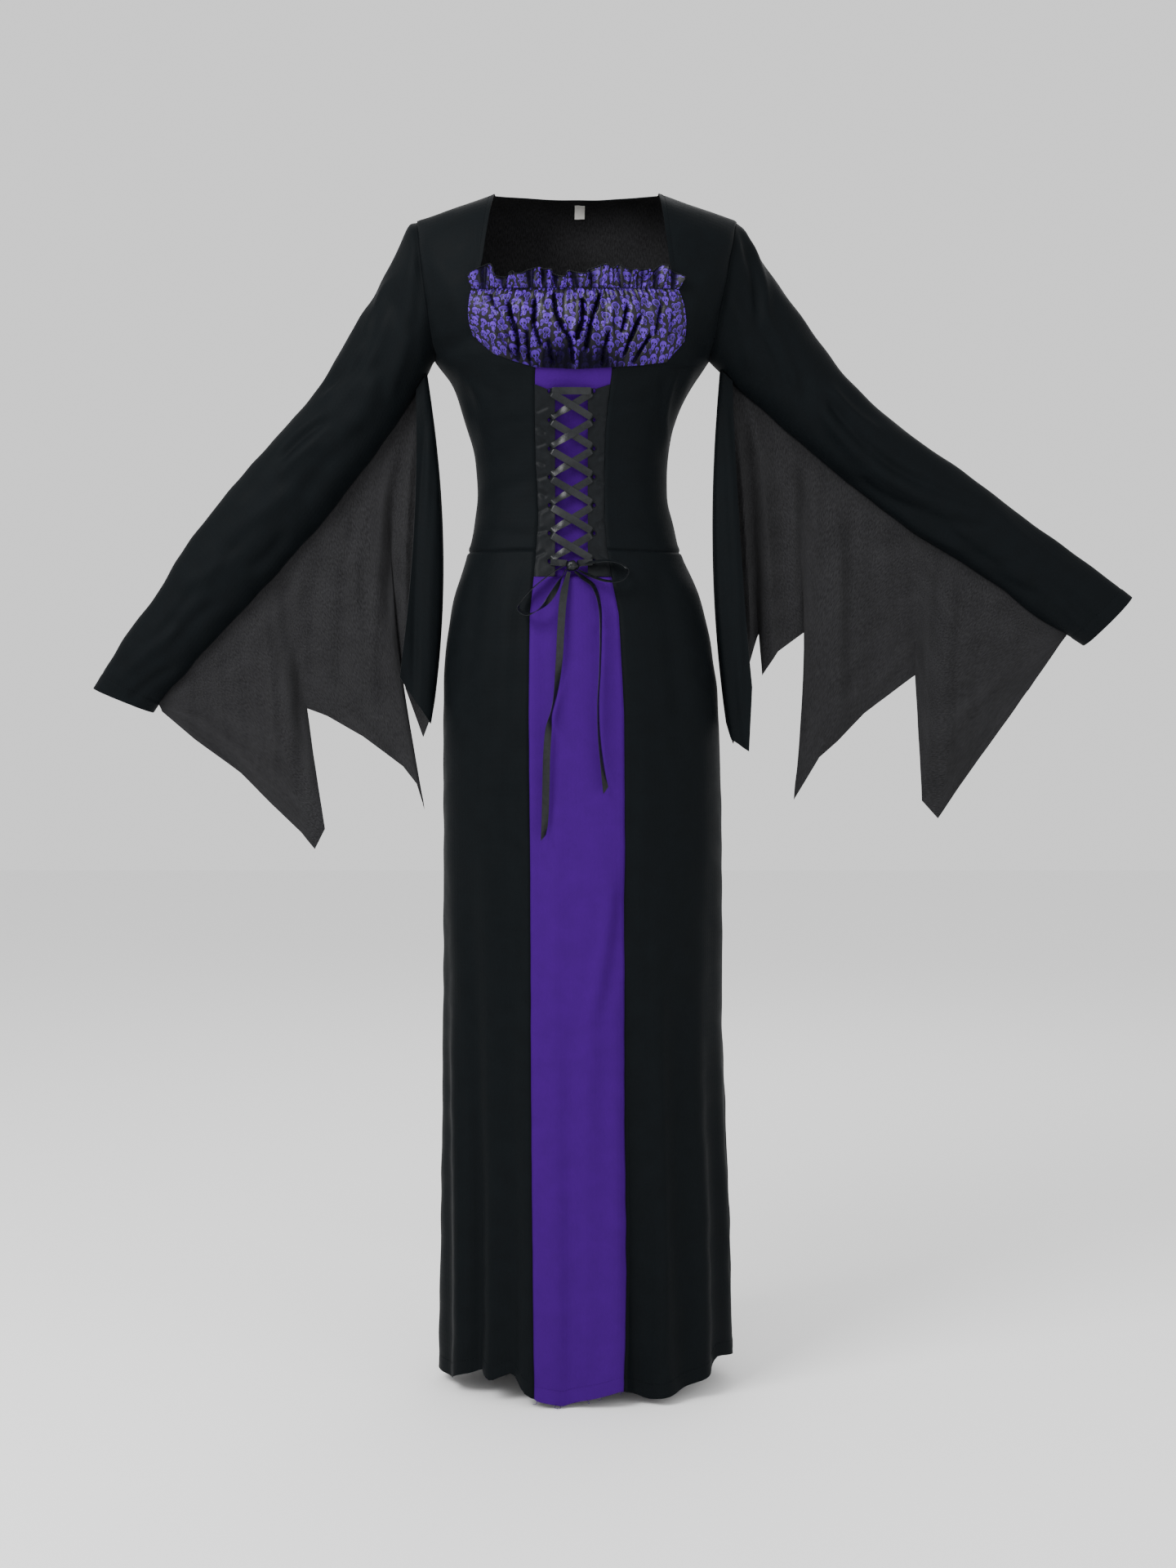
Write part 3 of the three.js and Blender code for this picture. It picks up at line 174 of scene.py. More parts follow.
# Wing columns, cuff to body: place along the sleeve, distance ahead, middle x, hem x and z, push
WINGS = {
    "right": np.array([
        (14.6, 0, -507, -505, -603, 0), (13.6, 0, -479, -463.7, -636.1, 5),
        (12.5, 0, -440, -407.7, -677.4, -3), (11.6, 0, -409, -369.4, -714.7, 2),
        (10.9, 0, -377, -332.1, -748.2, 10), (10.5, 0, -361, -315.4, -767.8, 15),
        (10.2, 0, -350, -302.6, -743.2, 14), (9.9, 0, -350, -317.3, -654.8, 4),
        (9.4, 0, -343, -326.2, -598.8, -8), (8.6, 0, -319, -302.1, -607.7, -10),
        (7.9, 0, -286, -257.4, -632.2, -2), (7.2, 0, -250, -208.3, -667.6, 8),
        (6.7, 0, -234, -191.6, -688.2, 13), (6.3, 0, -224, -181.8, -718.7, 14),
        (5.9, 0, -224, -194.5, -647, 8), (5.4, 0, -223, -206.3, -583.1, 0),
        (4.8, 0, -221, -220, -522, -8), (4.1, 0, -204, -205, -575, -4),
        (3.5, 0, -186, -184, -632, 0), (2.8, 1, -168, -173.5, -604, 5),
        (2.1, 4, -160, -169.5, -588, 15), (1.9, 10, -163, -173, -615, 26),
        (2.1, 14, -174, -184.5, -596, 27), (2.4, 15, -183, -198.5, -577, 23),
        (2.8, 15, -193.5, -209, -560, 26),
    ], float),
    "left": np.array([
        (14.6, 0, 597, 594.5, -513, 0), (14, 0, 552, 532.5, -599.8, 5),
        (13, 0, 499, 470.6, -686.3, -2), (12.1, 0, 461, 437.2, -731.4, 10),
        (11.6, 0, 442, 416.6, -709.8, 14), (11.1, 0, 427, 412.7, -620.4, 4),
        (10.6, 0, 412, 410.7, -558.5, -8), (9.8, 0, 364, 347.8, -604.7, -4),
        (9.2, 0, 334, 314.4, -638.1, 5), (8.7, 0, 312, 291.8, -656.8, 12),
        (8.2, 0, 287, 260.4, -707.9, 14), (7.6, 0, 276, 274.1, -580.1, 3),
        (7, 0, 268, 279, -503.5, -8), (6.1, 0, 241, 241.7, -530, 4),
        (5.4, 0, 226, 222.1, -558.5, 8), (4.8, 0, 213, 219, -507.5, -4),
        (4.1, 0, 196, 199, -570, -2), (3.5, 0, 182, 188, -640, 2), (2.8, 1, 169, 182, -622, 6),
        (2.1, 4, 163, 178.5, -614, 16), (1.9, 10, 166, 183.5, -634, 26),
        (2.1, 14, 175, 195, -642, 25), (2.4, 15, 184, 203.5, -648, 28),
        (2.8, 15, 193.5, 207.5, -572, 25),
    ], float),
}

# Lower outline of the bust panel: x, z
BUST_OUTLINE = np.array([
    (-119, -163.7), (-97, -184.6), (-72, -194.5), (-48, -202), (0, -204.5), (41.6, -202),
    (76, -198.6), (104, -193.5), (124, -170),
], float)

# Upper edge of the ruffle, scallop by scallop: x, z
RUFFLE_EDGE = np.array([
    (-119, -96), (-108, -85), (-101, -82.5), (-93, -87), (-88, -96), (-81, -98), (-76, -94),
    (-70, -92.5), (-65, -95), (-58, -94.5), (-52, -89.5), (-42, -88), (-33, -90), (-25, -94.5),
    (-18, -99), (-11, -96), (-4, -92), (5, -95), (12, -93), (19, -89), (26, -85), (35, -86),
    (43, -89), (51, -84), (57, -89), (66, -90.5), (77, -89.5), (86, -92), (93, -84), (100, -87.5),
    (108, -89), (116, -99),
], float)

# Ways of the bow's ribbons from the knot: x, distance in front of the bow's base, z
BOW_WAYS = {
    "bow_loop_right": np.array([
        (-12.9, 0.4, -430), (-26, 4, -438), (-48, 7, -455), (-62, 8, -470), (-66, 12, -481),
        (-55, 16, -487), (-40, 16, -479), (-27, 12, -463), (-12.3, 0.6, -434.8),
    ]),
    "bow_loop_left": np.array([
        (3.2, 0.4, -431.2), (18, 4, -427), (35, 6, -425), (50, 8, -428), (59, 12, -437),
        (52, 16, -447), (38, 16, -449), (22, 12, -445), (2.6, 0.6, -435.6),
    ]),
    "bow_tail_right": np.array([
        (-9, 0.5, -437.8), (-15, 4, -466), (-18, 6, -504), (-20, 6, -541), (-24, 5, -579),
        (-31, 6, -612), (-34, 7, -645), (-35, 6, -682), (-36, 5, -720), (-38, 6, -746),
    ]),
    "bow_tail_left": np.array([
        (-1.6, 0.5, -437.2), (8, 3, -445), (20, 4, -455), (27, 5, -478), (28, 6, -513),
        (27, 6, -551), (25, 7, -588), (26, 6, -626), (30, 5, -664), (34, 6, -692),
    ]),
}

# Creases: x and z of both ends seen from the front, height over the cloth, half width, bend.
# A negative height is a trough.
FRONT_CREASES = (
    # drag lines under the arms and beside the bust
    (-150, -200, -104, -262, -1.8, 7, 6), (-140, -190, -96, -240, 1.2, 6, 5),
    (127, -196, 108, -268, -2.2, 5, 3), (116, -204, 103, -292, 1.8, 5, 2),
    (104, -208, 98, -270, -1.4, 4, 1), (-130, -205, -118, -290, -1.4, 7, 2),
    # the shoulders fall from the seam to the bust
    (-150, -40, -138, -120, -1, 12, 4), (150, -48, 134, -128, -1.2, 12, -4),
    (-168, -70, -130, -168, 1.4, 11, -8), (158, -80, 132, -170, 1.3, 10, 8),
    # slight pulls from the lacing to the waist seam
    (-52, -262, -104, -272, -0.9, 6, 2), (-52, -330, -106, -352, -1.2, 7, 3),
    (-50, -395, -116, -384, -1, 6, -3), (38, -300, 92, -318, -0.9, 6, 3),
    (38, -370, 96, -388, -1.3, 7, -3), (40, -246, 88, -236, -0.8, 6, 2),
    # skirt: soft drops from the waist seam, between the grooves
    (-112, -420, -128, -640, -1.6, 9, 4), (-84, -425, -96, -720, 1.8, 11, -4),
    (-60, -430, -70, -600, -1.2, 8, 2), (96, -420, 118, -660, -1.7, 9, -4),
    (70, -425, 84, -760, 2, 11, 4), (54, -452, 64, -620, 1.4, 7, 1),
    (132, -520, 150, -820, 1.6, 10, -5), (-140, -560, -146, -900, 1.5, 9, 3),
    (-100, -860, -92, -1393, -3.2, 14, 3), (-120, -1000, -124, -1393, 2.2, 9, 0),
    (-72, -980, -70, -1393, 2.4, 9, 2), (-148, -930, -140, -1330, 2, 5, -2),
    (72, -700, 74, -1393, 2.6, 7, 2), (92, -880, 100, -1393, 2.4, 7, -3),
    (118, -900, 128, -1393, -3, 14, 3), (150, -860, 160, -1393, 2.2, 8, 3),
    # purple panel: one long fold from its right seam, pinches under the bow
    (54, -790, 35, -940, -3, 9, -3), (35, -940, 34, -1393, -3.4, 12, 2),
    (40, -800, 14, -960, 2, 7, -3), (14, -960, 8, -1393, 2, 8, 2),
    (-36, -470, -30, -760, -1.1, 7, 3), (-24, -640, -20, -1393, 1.4, 9, 2),
    (20, -466, 46, -482, -2.2, 4, 2), (18, -492, 47, -500, 1.6, 4, -1),
    (22, -508, 48, -504, -1.8, 4, 1), (-44, -478, -30, -494, -1.5, 4, 1),
)
BACK_CREASES = (
    (-150, -196, -104, -270, -1.7, 7, 5), (-128, -200, -112, -300, 1.3, 6, 3),
    (140, -198, 102, -262, -1.8, 6, 5), (120, -206, 106, -296, 1.2, 6, 2),
    (-150, -60, -120, -160, -1.3, 12, 6), (152, -56, 118, -150, -1.2, 11, -6),
    (-60, -250, -96, -330, -1, 9, 4), (52, -262, 90, -346, -1.1, 9, -4),
    (-70, -388, -20, -396, -1.5, 6, 2), (14, -382, 72, -392, -1.4, 6, -2),
    (-44, -366, 30, -372, 1, 7, 2), (-112, -420, -122, -680, -1.7, 9, 3),
    (-70, -425, -84, -740, 1.9, 11, -4), (-30, -425, -34, -640, -1.3, 9, 2),
    (10, -425, 14, -780, 1.6, 11, -3), (52, -425, 64, -690, -1.6, 9, 4),
    (96, -420, 116, -720, 1.7, 10, -3), (140, -560, 152, -900, -1.8, 10, 3),
    (-104, -880, -98, -1393, 2.6, 9, 4), (-62, -960, -60, -1393, -2.8, 11, -3),
    (-20, -900, -24, -1393, 2.4, 8, 3), (28, -980, 30, -1393, -2.4, 10, 2),
    (72, -880, 78, -1393, 2.6, 9, -4), (118, -940, 124, -1393, -2.8, 12, 3),
)
SLEEVE_CREASES = {
    "right": (
        (-221, -90, -250, -160, 3.2, 5.5, 5), (-250, -160, -300, -228, 3.4, 4.7, -5),
        (-240, -112, -296, -220, -4.2, 8.6, -16), (-298, -256, -352, -302, -4.2, 5.5, 4),
        (-306, -280, -356, -322, 2.6, 7, 3), (-214, -110, -246, -208, -2.4, 12.5, -8),
        (-236, -200, -292, -296, 3, 10.9, -8), (-250, -262, -330, -352, -3, 9.4, 6),
        (-338, -340, -396, -388, 2.2, 9.4, 4), (-348, -388, -392, -432, -2.8, 7.8, -4),
        (-376, -372, -430, -440, -1.8, 7, 4), (-404, -410, -470, -452, 2, 7.8, -4),
        (-430, -470, -486, -520, -2.6, 7, 3), (-470, -500, -548, -560, 2.2, 7, 3),
        (-452, -440, -510, -520, -1.6, 6.2, -4), (-484, -548, -540, -588, -2.4, 5.5, 3),
        (-186, -60, -198, -176, -1.8, 6.2, -6), (-190, -150, -222, -232, 2, 6.2, 3),
    ),
    "left": (
        (194, -30, 214, -140, -3, 4.7, -5), (204, -32, 226, -140, 2.4, 5.5, -4),
        (214, -140, 252, -228, -2.6, 6.2, -4), (224, -140, 262, -214, 2.2, 7, -3),
        (300, -232, 352, -290, -4, 5.5, 3), (352, -290, 420, -330, -4.2, 5.5, 4),
        (420, -330, 478, -352, -2.6, 5.5, 2), (300, -214, 360, -268, 3, 5.5, 3),
        (292, -246, 344, -304, 2.8, 6.2, 3), (344, -304, 430, -352, 3, 6.2, 4),
        (336, -322, 410, -362, -3.4, 5.5, 5), (410, -362, 490, -380, -2.6, 6.2, 4),
        (390, -368, 470, -408, 2.4, 6.2, 4), (430, -372, 520, -432, -2.6, 7, 5),
        (500, -360, 600, -436, 2, 7.8, 4), (500, -432, 560, -462, -2.2, 6.2, 3),
        (560, -440, 630, -500, -1.8, 7, -4), (586, -470, 624, -508, 2.4, 5.5, 2),
        (180, -110, 206, -196, 2, 7, -4), (240, -170, 276, -236, -2.2, 7.8, -4),
    ),
}
WING_CREASES = {
    "right": (
        (-190, -240, -204, -520, 5, 4.3, 6), (-178, -250, -190, -600, -5.5, 3.7, 6),
        (-206, -270, -226, -500, -3.4, 5.6, 5), (-228, -300, -246, -620, 3.4, 6.8, 6),
        (-262, -330, -286, -590, -3.2, 6.2, 6), (-282, -360, -262, -600, 2.8, 7.4, -8),
        (-306, -390, -320, -580, -2.6, 5.6, 4), (-330, -412, -344, -620, 2.8, 6.8, 5),
        (-356, -440, -330, -700, -3.2, 7.4, -6), (-382, -470, -366, -680, 2.6, 6.2, -5),
        (-410, -500, -396, -660, -2.4, 6.2, -4), (-436, -520, -424, -650, 2.2, 5.6, 3),
        (-462, -550, -458, -640, -2, 5, 2), (-160, -250, -176, -610, 2, 3.1, 3),
    ),
    "left": (
        (176, -212, 194, -600, 3.2, 3.1, -4), (186, -215, 208, -560, 5, 3.7, -5),
        (198, -222, 218, -540, -4.6, 4.3, -5), (212, -232, 236, -560, 4, 5, -5),
        (232, -246, 252, -540, -3.4, 6.2, -5), (256, -262, 268, -520, 3, 6.2, -3),
        (282, -290, 270, -640, -3.4, 6.8, 8), (306, -312, 318, -620, 2.8, 7.4, -5),
        (336, -336, 330, -610, -2.8, 6.8, 4), (368, -360, 376, -590, 2.8, 7.4, -5),
        (400, -384, 410, -560, -2.8, 6.2, -3), (432, -404, 424, -700, 3, 6.8, 6),
        (470, -428, 462, -690, -2.8, 7.4, 5), (508, -450, 500, -650, 2.4, 6.8, 4),
        (548, -478, 540, -600, -2.2, 6.2, 3),
    ),
}
BUST_CREASES = (
    (-78, -126, -65, -170, -4.2, 2.4, 0), (-65, -170, -67, -196, -3.8, 2.4, 0),
    (-47, -124, -47, -156, -3.8, 2.2, 0), (-47, -156, -39, -180, -3.6, 2.2, 0),
    (-26, -116, -20, -149, -4.2, 2.2, 1), (-20, -149, -7, -172, -4.4, 2.4, 0),
    (-7, -172, -3, -200, -3.8, 2.2, 0), (6.6, -124, 6.6, -149, -4.4, 2.2, 0),
    (6.6, -149, -1, -172, -5, 2.8, 0), (28, -115, 18, -142, -3.8, 2, 0),
    (18, -142, 10, -186, -4.2, 2.2, 1), (57, -130, 49, -164, -3.2, 2, 0),
    (72, -142, 53, -190, -4, 2.2, 2), (84, -162, 63, -200, -3.6, 2.2, 1),
    (-101, -116, -86, -141, -3, 2, 0), (-86, -141, -76, -172, -2.2, 2.4, 0),
    (97, -128, 88, -166, -2.4, 2.2, 1), (110, -136, 104, -170, -1.8, 2.4, 0),
    (-56, -150, -54, -196, -2.8, 2, 0), (-32, -170, -26, -202, -3, 2, 0),
    (36, -160, 28, -202, -3, 2, 1), (-90, -160, -72, -190, -1.8, 2.4, 0),
    (-12, -150, -14, -200, 2, 3, 0), (-35, -130, -31, -168, 2.2, 3.6, 0),
    (14, -125, 12, -150, 2.4, 3.4, 0), (42, -124, 34, -160, 2.6, 4, 0),
    (66, -126, 54, -168, 2.2, 4, 0), (-60, -120, -56, -160, 2.4, 4, 0),
    (-92, -122, -78, -160, 2, 4.4, 0), (90, -120, 78, -164, 1.8, 4.4, 0),
)
PLACKET_CREASES = (
    (-47, -252, -33, -246, -1, 2.4, 0), (-47, -268, -36, -276, -1.2, 2.6, 0),
    (-47, -291, -35, -287, -1, 2.2, 0), (-47, -308, -36, -313, -1.3, 2.6, 0),
    (-46, -329, -34, -325, -1, 2.2, 0), (-45, -344, -35, -350, -1.2, 2.6, 0),
    (-45, -368, -34, -362, -1, 2.4, 0), (-46, -392, -34, -388, -1.2, 2.6, 0),
    (-48, -420, -36, -414, -1, 2.4, 0), (-47, -280, -34, -281, 0.8, 2.4, 0),
    (34, -260, 24, -256, -0.9, 2.4, 0), (33, -300, 24, -306, -0.9, 2.6, 0),
    (32, -336, 24, -332, -0.8, 2.4, 0), (33, -378, 24, -384, -1, 2.6, 0),
    (37, -424, 26, -416, -0.9, 2.4, 0),
)


def linear(colour):
    """Turns an sRGB hex colour into the linear numbers that a shader takes."""
    parts = [int(colour[k:k + 2], 16) / 255 for k in (1, 3, 5)]
    return tuple(c / 12.92 if c <= 0.04045 else ((c + 0.055) / 1.055) ** 2.4 for c in parts)


def smooth(t):
    """From 0 to 1 with soft ends."""
    t = np.clip(t, 0, 1)
    return t * t * (3 - 2 * t)


def bell(distance, half_width):
    """1 at no distance, falling off softly past the half width."""
    return np.exp(-((distance / half_width) ** 2))

def straight(at, knots, values):
    """Straight lines through the knots."""
    order = np.argsort(knots)
    return np.interp(at, knots[order], values[order])


def curved(at, knots, values):
    """A smooth curve through the knots."""
    order = np.argsort(knots)
    k, v = knots[order], values[order]
    slope = np.empty_like(v)
    slope[1:-1] = (v[2:] - v[:-2]) / (k[2:] - k[:-2])
    slope[0] = (v[1] - v[0]) / (k[1] - k[0])
    slope[-1] = (v[-1] - v[-2]) / (k[-1] - k[-2])
    i = np.clip(np.searchsorted(k, at) - 1, 0, len(k) - 2)
    step = k[i + 1] - k[i]
    t = np.clip((at - k[i]) / step, 0, 1)
    return (
        (2 * t**3 - 3 * t**2 + 1) * v[i]
        + (t**3 - 2 * t**2 + t) * step * slope[i]
        + (3 * t**2 - 2 * t**3) * v[i + 1]
        + (t**3 - t**2) * step * slope[i + 1]
    )


def near_nape(x):
    """1 at the middle of the neck, 0 at its corners."""
    return np.maximum(0, 1 - (x / NECK_HALF) ** 2)


def shoulder_line(x):
    """Height of the shoulder seam and of the back neck between them."""
    fall = SHOULDER_DROP * np.maximum(0, (np.abs(x) - NECK_HALF) / SHOULDER_LENGTH)
    return NECK_HEIGHT + NAPE_RISE * near_nape(x) - fall


def outline_at(side, z):
    """The body's outline: straight along the armhole, curved below it."""
    below = SECTIONS[SECTIONS[:, 0] <= UNDERARM]
    return np.where(
        z > UNDERARM,
        straight(z, SECTIONS[:, 0], SECTIONS[:, side]),
        curved(z, below[:, 0], below[:, side]),
    )


def fold_depth(turn, z):
    """How far the skirt's grooves draw the surface in, more towards the hem."""
    degrees = np.degrees(turn)
    depth = np.zeros(np.broadcast(turn, z).shape)
    for at, wide, deep, start in SKIRT_FOLDS:
        away = (degrees - at + 540) % 360 - 180
        depth += deep * smooth((start - z) / (start - HEM)) ** 0.8 * bell(away, wide)
    return depth


def hemmed(turn, z):
    """A level's height, eased into the uneven hem."""
    eased = np.clip((HEM_EASE - z) / (HEM_EASE - HEM), 0, 1)
    return z + eased * straight(np.degrees(turn), HEM_RISE[:, 0], HEM_RISE[:, 1])


def body(turn, z, out=0.0):
    """Points of the body's surface, moved off it by out."""
    turn, z, out = np.broadcast_arrays(turn, z, out)
    left, right = outline_at(1, z), outline_at(2, z)
    side, ahead = np.sin(turn), np.cos(turn)
    power = 2 / ROUNDNESS
    shrink = fold_depth(turn, z)
    half = (right - left) / 2 + out - shrink
    x = (left + right) / 2 + half * np.sign(side) * np.abs(side) ** power
    front = curved(z, SECTIONS[:, 0], SECTIONS[:, 3])
    back = curved(z, SECTIONS[:, 0], SECTIONS[:, 4])
    depth = np.where(ahead > 0, front, back) + out - shrink
    drop = np.maximum(0, shoulder_line(x) - z)
    t = np.clip(drop / (shoulder_line(NECK_HALF + SHOULDER_LENGTH) - UNDERARM), 0, 1)
    arm = 2 * ARM_HALF_DEPTH * np.sqrt(t * (1 - t))
    fallen = np.minimum(1, drop / SHOULDER_ROLL)
    nape = np.where(ahead > 0, 0, near_nape(x))
    rolled = np.sqrt(1 - (1 - fallen) ** 2)
    rolled = rolled + (np.sin(fallen * np.pi / 2) - rolled) * nape
    rolled = np.where(z > UNDERARM, rolled, 1)
    away = arm + (depth - arm) * np.abs(ahead) ** power * rolled
    y = np.where(ahead > 0, -away, away + BACK_NECK * nape * (1 - rolled))
    return np.stack([x, y, z * np.ones_like(x)], -1)


def turn_at(x, z):
    """The turn round the body, from -90 to 90 degrees, of a place on its front."""
    left, right = outline_at(1, z), outline_at(2, z)
    share = np.clip((x - (left + right) / 2) / ((right - left) / 2), -1, 1)
    return np.sign(share) * np.arcsin(np.abs(share) ** (ROUNDNESS / 2))


def seam_x(side, z):
    return straight(z, FRONT_SEAMS[:, 0], FRONT_SEAMS[:, 1 if side == "left" else 2])


def seam_turn(side, z):
    return turn_at(seam_x(side, z), z)


def on_front(x, z, out=0.0):
    return body(turn_at(x, z), z, out)


def unit(vectors):
    return vectors / np.maximum(np.linalg.norm(vectors, axis=-1, keepdims=True), 1e-9)


def surface_normals(points, closed=False):
    """The direction square to a grid of points at each of them."""
    if closed:
        across = np.roll(points, -1, 1) - np.roll(points, 1, 1)
    else:
        across = np.gradient(points, axis=1)
    return unit(np.cross(across, np.gradient(points, axis=0)))


def body_normals(turn, z):
    """The way out of the body's surface, measured on the panel's own side of each seam."""
    middle = (turn[:, :1] + turn[:, -1:]) / 2
    step = np.where(turn < middle, 1e-4, -1e-4)
    across = (body(turn + step, z) - body(turn, z)) * np.sign(step)[..., None]
    up = body(turn, z + 0.25) - body(turn, z - 0.25)
    return unit(np.cross(across, up))


def relief(x, z, rows):
    """The height that a list of creases adds at places seen from the front."""
    total = np.zeros(np.broadcast(x, z).shape)
    for x0, z0, x1, z1, height, width, bend in rows:
        length = math.hypot(x1 - x0, z1 - z0)
        dx, dz = (x1 - x0) / length, (z1 - z0) / length
        along = ((x - x0) * dx + (z - z0) * dz) / length
        off = (x - x0) * dz - (z - z0) * dx - 4 * bend * along * (1 - along)
        ends = smooth((along + 0.12) / 0.3) * smooth((1.12 - along) / 0.3)
        total += height * ends * (bell(off, width) - 0.25 * bell(np.abs(off) - 2 * width, width))
    return total


def unevenness(points, height, wave, seed):
    """Slow, uneven swells of the cloth, the same each run."""
    draw = np.random.default_rng(seed)
    total = np.zeros(points.shape[:-1])
    for _ in range(9):
        way = unit(draw.normal(size=3)) * 2 * np.pi / (wave * draw.uniform(0.6, 1.8))
        total += np.sin(points @ way + draw.uniform(0, 6.28)) * height / 3
    return total


def run(points, axis=0):
    """How far along its row or column each point lies."""
    steps = np.linalg.norm(np.diff(points, axis=axis), axis=-1)
    return np.concatenate([np.zeros_like(steps.take([0], axis)), np.cumsum(steps, axis)], axis)


def edge_distances(points):
    """How far each point of a grid lies from its left, right, first and last edges."""
    left, first = run(points, 1), run(points)
    return {"left": left, "right": left[:, -1:] - left, "first": first, "last": first[-1:] - first}


def seam_line(distance):
    """A sewn seam: the cloth dips into it and puffs up beside it."""
    return 0.45 * bell(distance - 4.6, 2.8) - 1.5 * bell(distance, 1.5)


def hem_line(distance, depth):
    """A turned hem: a slightly thicker band with a sewn line at its depth."""
    return 0.45 * smooth((depth + 1 - distance) / 2) - 0.5 * bell(distance - depth, 1.3)


def shares(width, count):
    """Places across each row of a panel, closer together beside its two seams."""
    width = np.asarray(width, float)[:, None]
    first = FINE / width
    gap = SEAM_MARGIN / width
    inner = gap + (1 - 2 * gap) * np.linspace(0, 1, count)
    return np.concatenate([first, inner, 1 - first[:, ::-1]], 1)


def levels(start, end, step):
    """Heights from start to end, closer together beside both ends."""
    way = math.copysign(1, end - start)
    count = max(2, round((abs(end - start) - 2 * SEAM_MARGIN) / step))
    inner = np.linspace(start + way * SEAM_MARGIN, end - way * SEAM_MARGIN, count)
    return np.concatenate([start + way * FINE, inner, end - way * FINE[::-1]])


def flat_places(points, closed=False):
    """The places of a grid's points on the flat cloth, in metres."""
    if closed:
        points = np.concatenate([points, points[:, :1]], 1)
    middle = points.shape[1] // 2
    u = run(points, 1)
    v = run(points[:, middle])
    return np.stack([u - u[:, middle:middle + 1], np.broadcast_to(v[:, None], u.shape)], -1) * MM


def pick(piece):
    """Makes the piece the only selected and active object."""
    bpy.ops.object.select_all(action="DESELECT")
    piece.select_set(True)
    bpy.context.view_layer.objects.active = piece


def make_mesh(name, points, faces, materials, uvs=None):
    """One object from points in millimetres, faces, and a flat place for each face corner."""
    mesh = bpy.data.meshes.new(name)
    mesh.from_pydata((points * MM).tolist(), [], faces)
    if uvs is not None:
        mesh.uv_layers.new(name="UVMap").data.foreach_set("uv", uvs.astype(np.float32).ravel())
    for material in materials:
        mesh.materials.append(material)
    mesh.update()
    piece = bpy.data.objects.new(name, mesh)
    bpy.context.scene.collection.objects.link(piece)
    return piece


def grid_faces(rows, cols, closed=False, start=0):
    """Faces of a grid, and for each of their corners the row and column on the flat cloth."""
    i, j = np.meshgrid(np.arange(rows - 1), np.arange(cols if closed else cols - 1), indexing="ij")
    i, j = i.ravel(), j.ravel()
    corners = np.stack([
        np.stack([i, j], -1), np.stack([i, j + 1], -1),
        np.stack([i + 1, j + 1], -1), np.stack([i + 1, j], -1),
    ], 1)
    faces = start + corners[..., 0] * cols + corners[..., 1] % cols
    return faces, corners


def facing(faces, corners, normal, way=(0, -1, 0)):
    """Turns all faces over where the cloth's normal looks away from its way out."""
    turned = slice(None, None, -1 if normal @ np.asarray(way, float) < 0 else 1)
    return faces[:, turned], corners[:, turned]


def thicken(piece, thickness, inner_material=0):
    """Gives a cloth its thickness, inwards from its face, and shades it smoothly."""
    pick(piece)
    wall = piece.modifiers.new("Thickness", "SOLIDIFY")
    wall.thickness = thickness * MM
    wall.offset = -1.0
    wall.material_offset = inner_material
    wall.material_offset_rim = 0
    bpy.ops.object.modifier_apply(modifier=wall.name)
    bpy.ops.object.shade_smooth_by_angle(angle=math.radians(50))


def sew_cloth(name, points, way, thickness, materials, closed=False, flat=None, crushed=None):
    """A cloth from a grid of points in millimetres; way is out of it at the grid's middle.
    A second material is for its inside, and the last argument gives the painted shade at each
    point, darkest deep in a fold."""
    rows, cols = points.shape[:2]
    middle = surface_normals(points, closed)[rows // 2, cols // 2]
    faces, corners = facing(*grid_faces(rows, cols, closed), middle, way)
    flat = flat_places(points, closed) if flat is None else flat
    uvs = flat[corners[..., 0], corners[..., 1]]
    piece = make_mesh(name, points.reshape(-1, 3), faces.tolist(), materials, uvs)
    # painted shade for the print, stored on each point
    if crushed is not None:
        layer = piece.data.attributes.new("crushed", "FLOAT", "POINT")
        layer.data.foreach_set("value", crushed.astype(np.float32).ravel())
    thicken(piece, thickness, len(materials) - 1)
    return piece


def finish_piece(piece, slot, *nodes):
    """Every piece of the gown rides on its one body, and the imported parts it stands for are
    hidden; the slot is not used.
    """
    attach(piece, "root")
    if nodes:
        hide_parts(*nodes)
    return piece


def tube(points, radius, sides):
    """Points and faces of a round thread along a way, open at both ends."""
    tangent = unit(np.gradient(points, axis=0))
    level = np.where(np.abs(tangent[:, 2:]) > 0.9, [[1.0, 0, 0]], [[0, 0, 1.0]])
    first = unit(np.cross(tangent, level))
    second = np.cross(tangent, first)
    angle = (np.arange(sides) * 2 * np.pi / sides)[:, None]
    ring = first[:, None] * np.cos(angle) + second[:, None] * np.sin(angle)
    return (points[:, None] + radius * ring).reshape(-1, 3), grid_faces(len(points), sides, True)[0]


def threads(name, ways, radius, material, sides=5):
    """One object of separate threads, each closed by a flat fan at both ends."""
    all_points, all_faces, start = [], [], 0
    for way in ways:
        points, faces = tube(way, radius, sides)
        all_points += [points, way[[0, -1]]]
        all_faces += (faces + start).tolist()
        end = start + len(points)
        for k in range(sides):
            beside = (k + 1) % sides
            all_faces.append((end, start + beside, start + k))
            all_faces.append((end + 1, end - sides + k, end - sides + beside))
        start = end + 2
    piece = make_mesh(name, np.concatenate(all_points), all_faces, [material])
    piece.data.polygons.foreach_set("use_smooth", [True] * len(all_faces))
    pick(piece)
    bpy.ops.object.mode_set(mode="EDIT")
    bpy.ops.mesh.select_all(action="SELECT")
    bpy.ops.mesh.normals_make_consistent(inside=False)
    bpy.ops.object.mode_set(mode="OBJECT")
    return piece


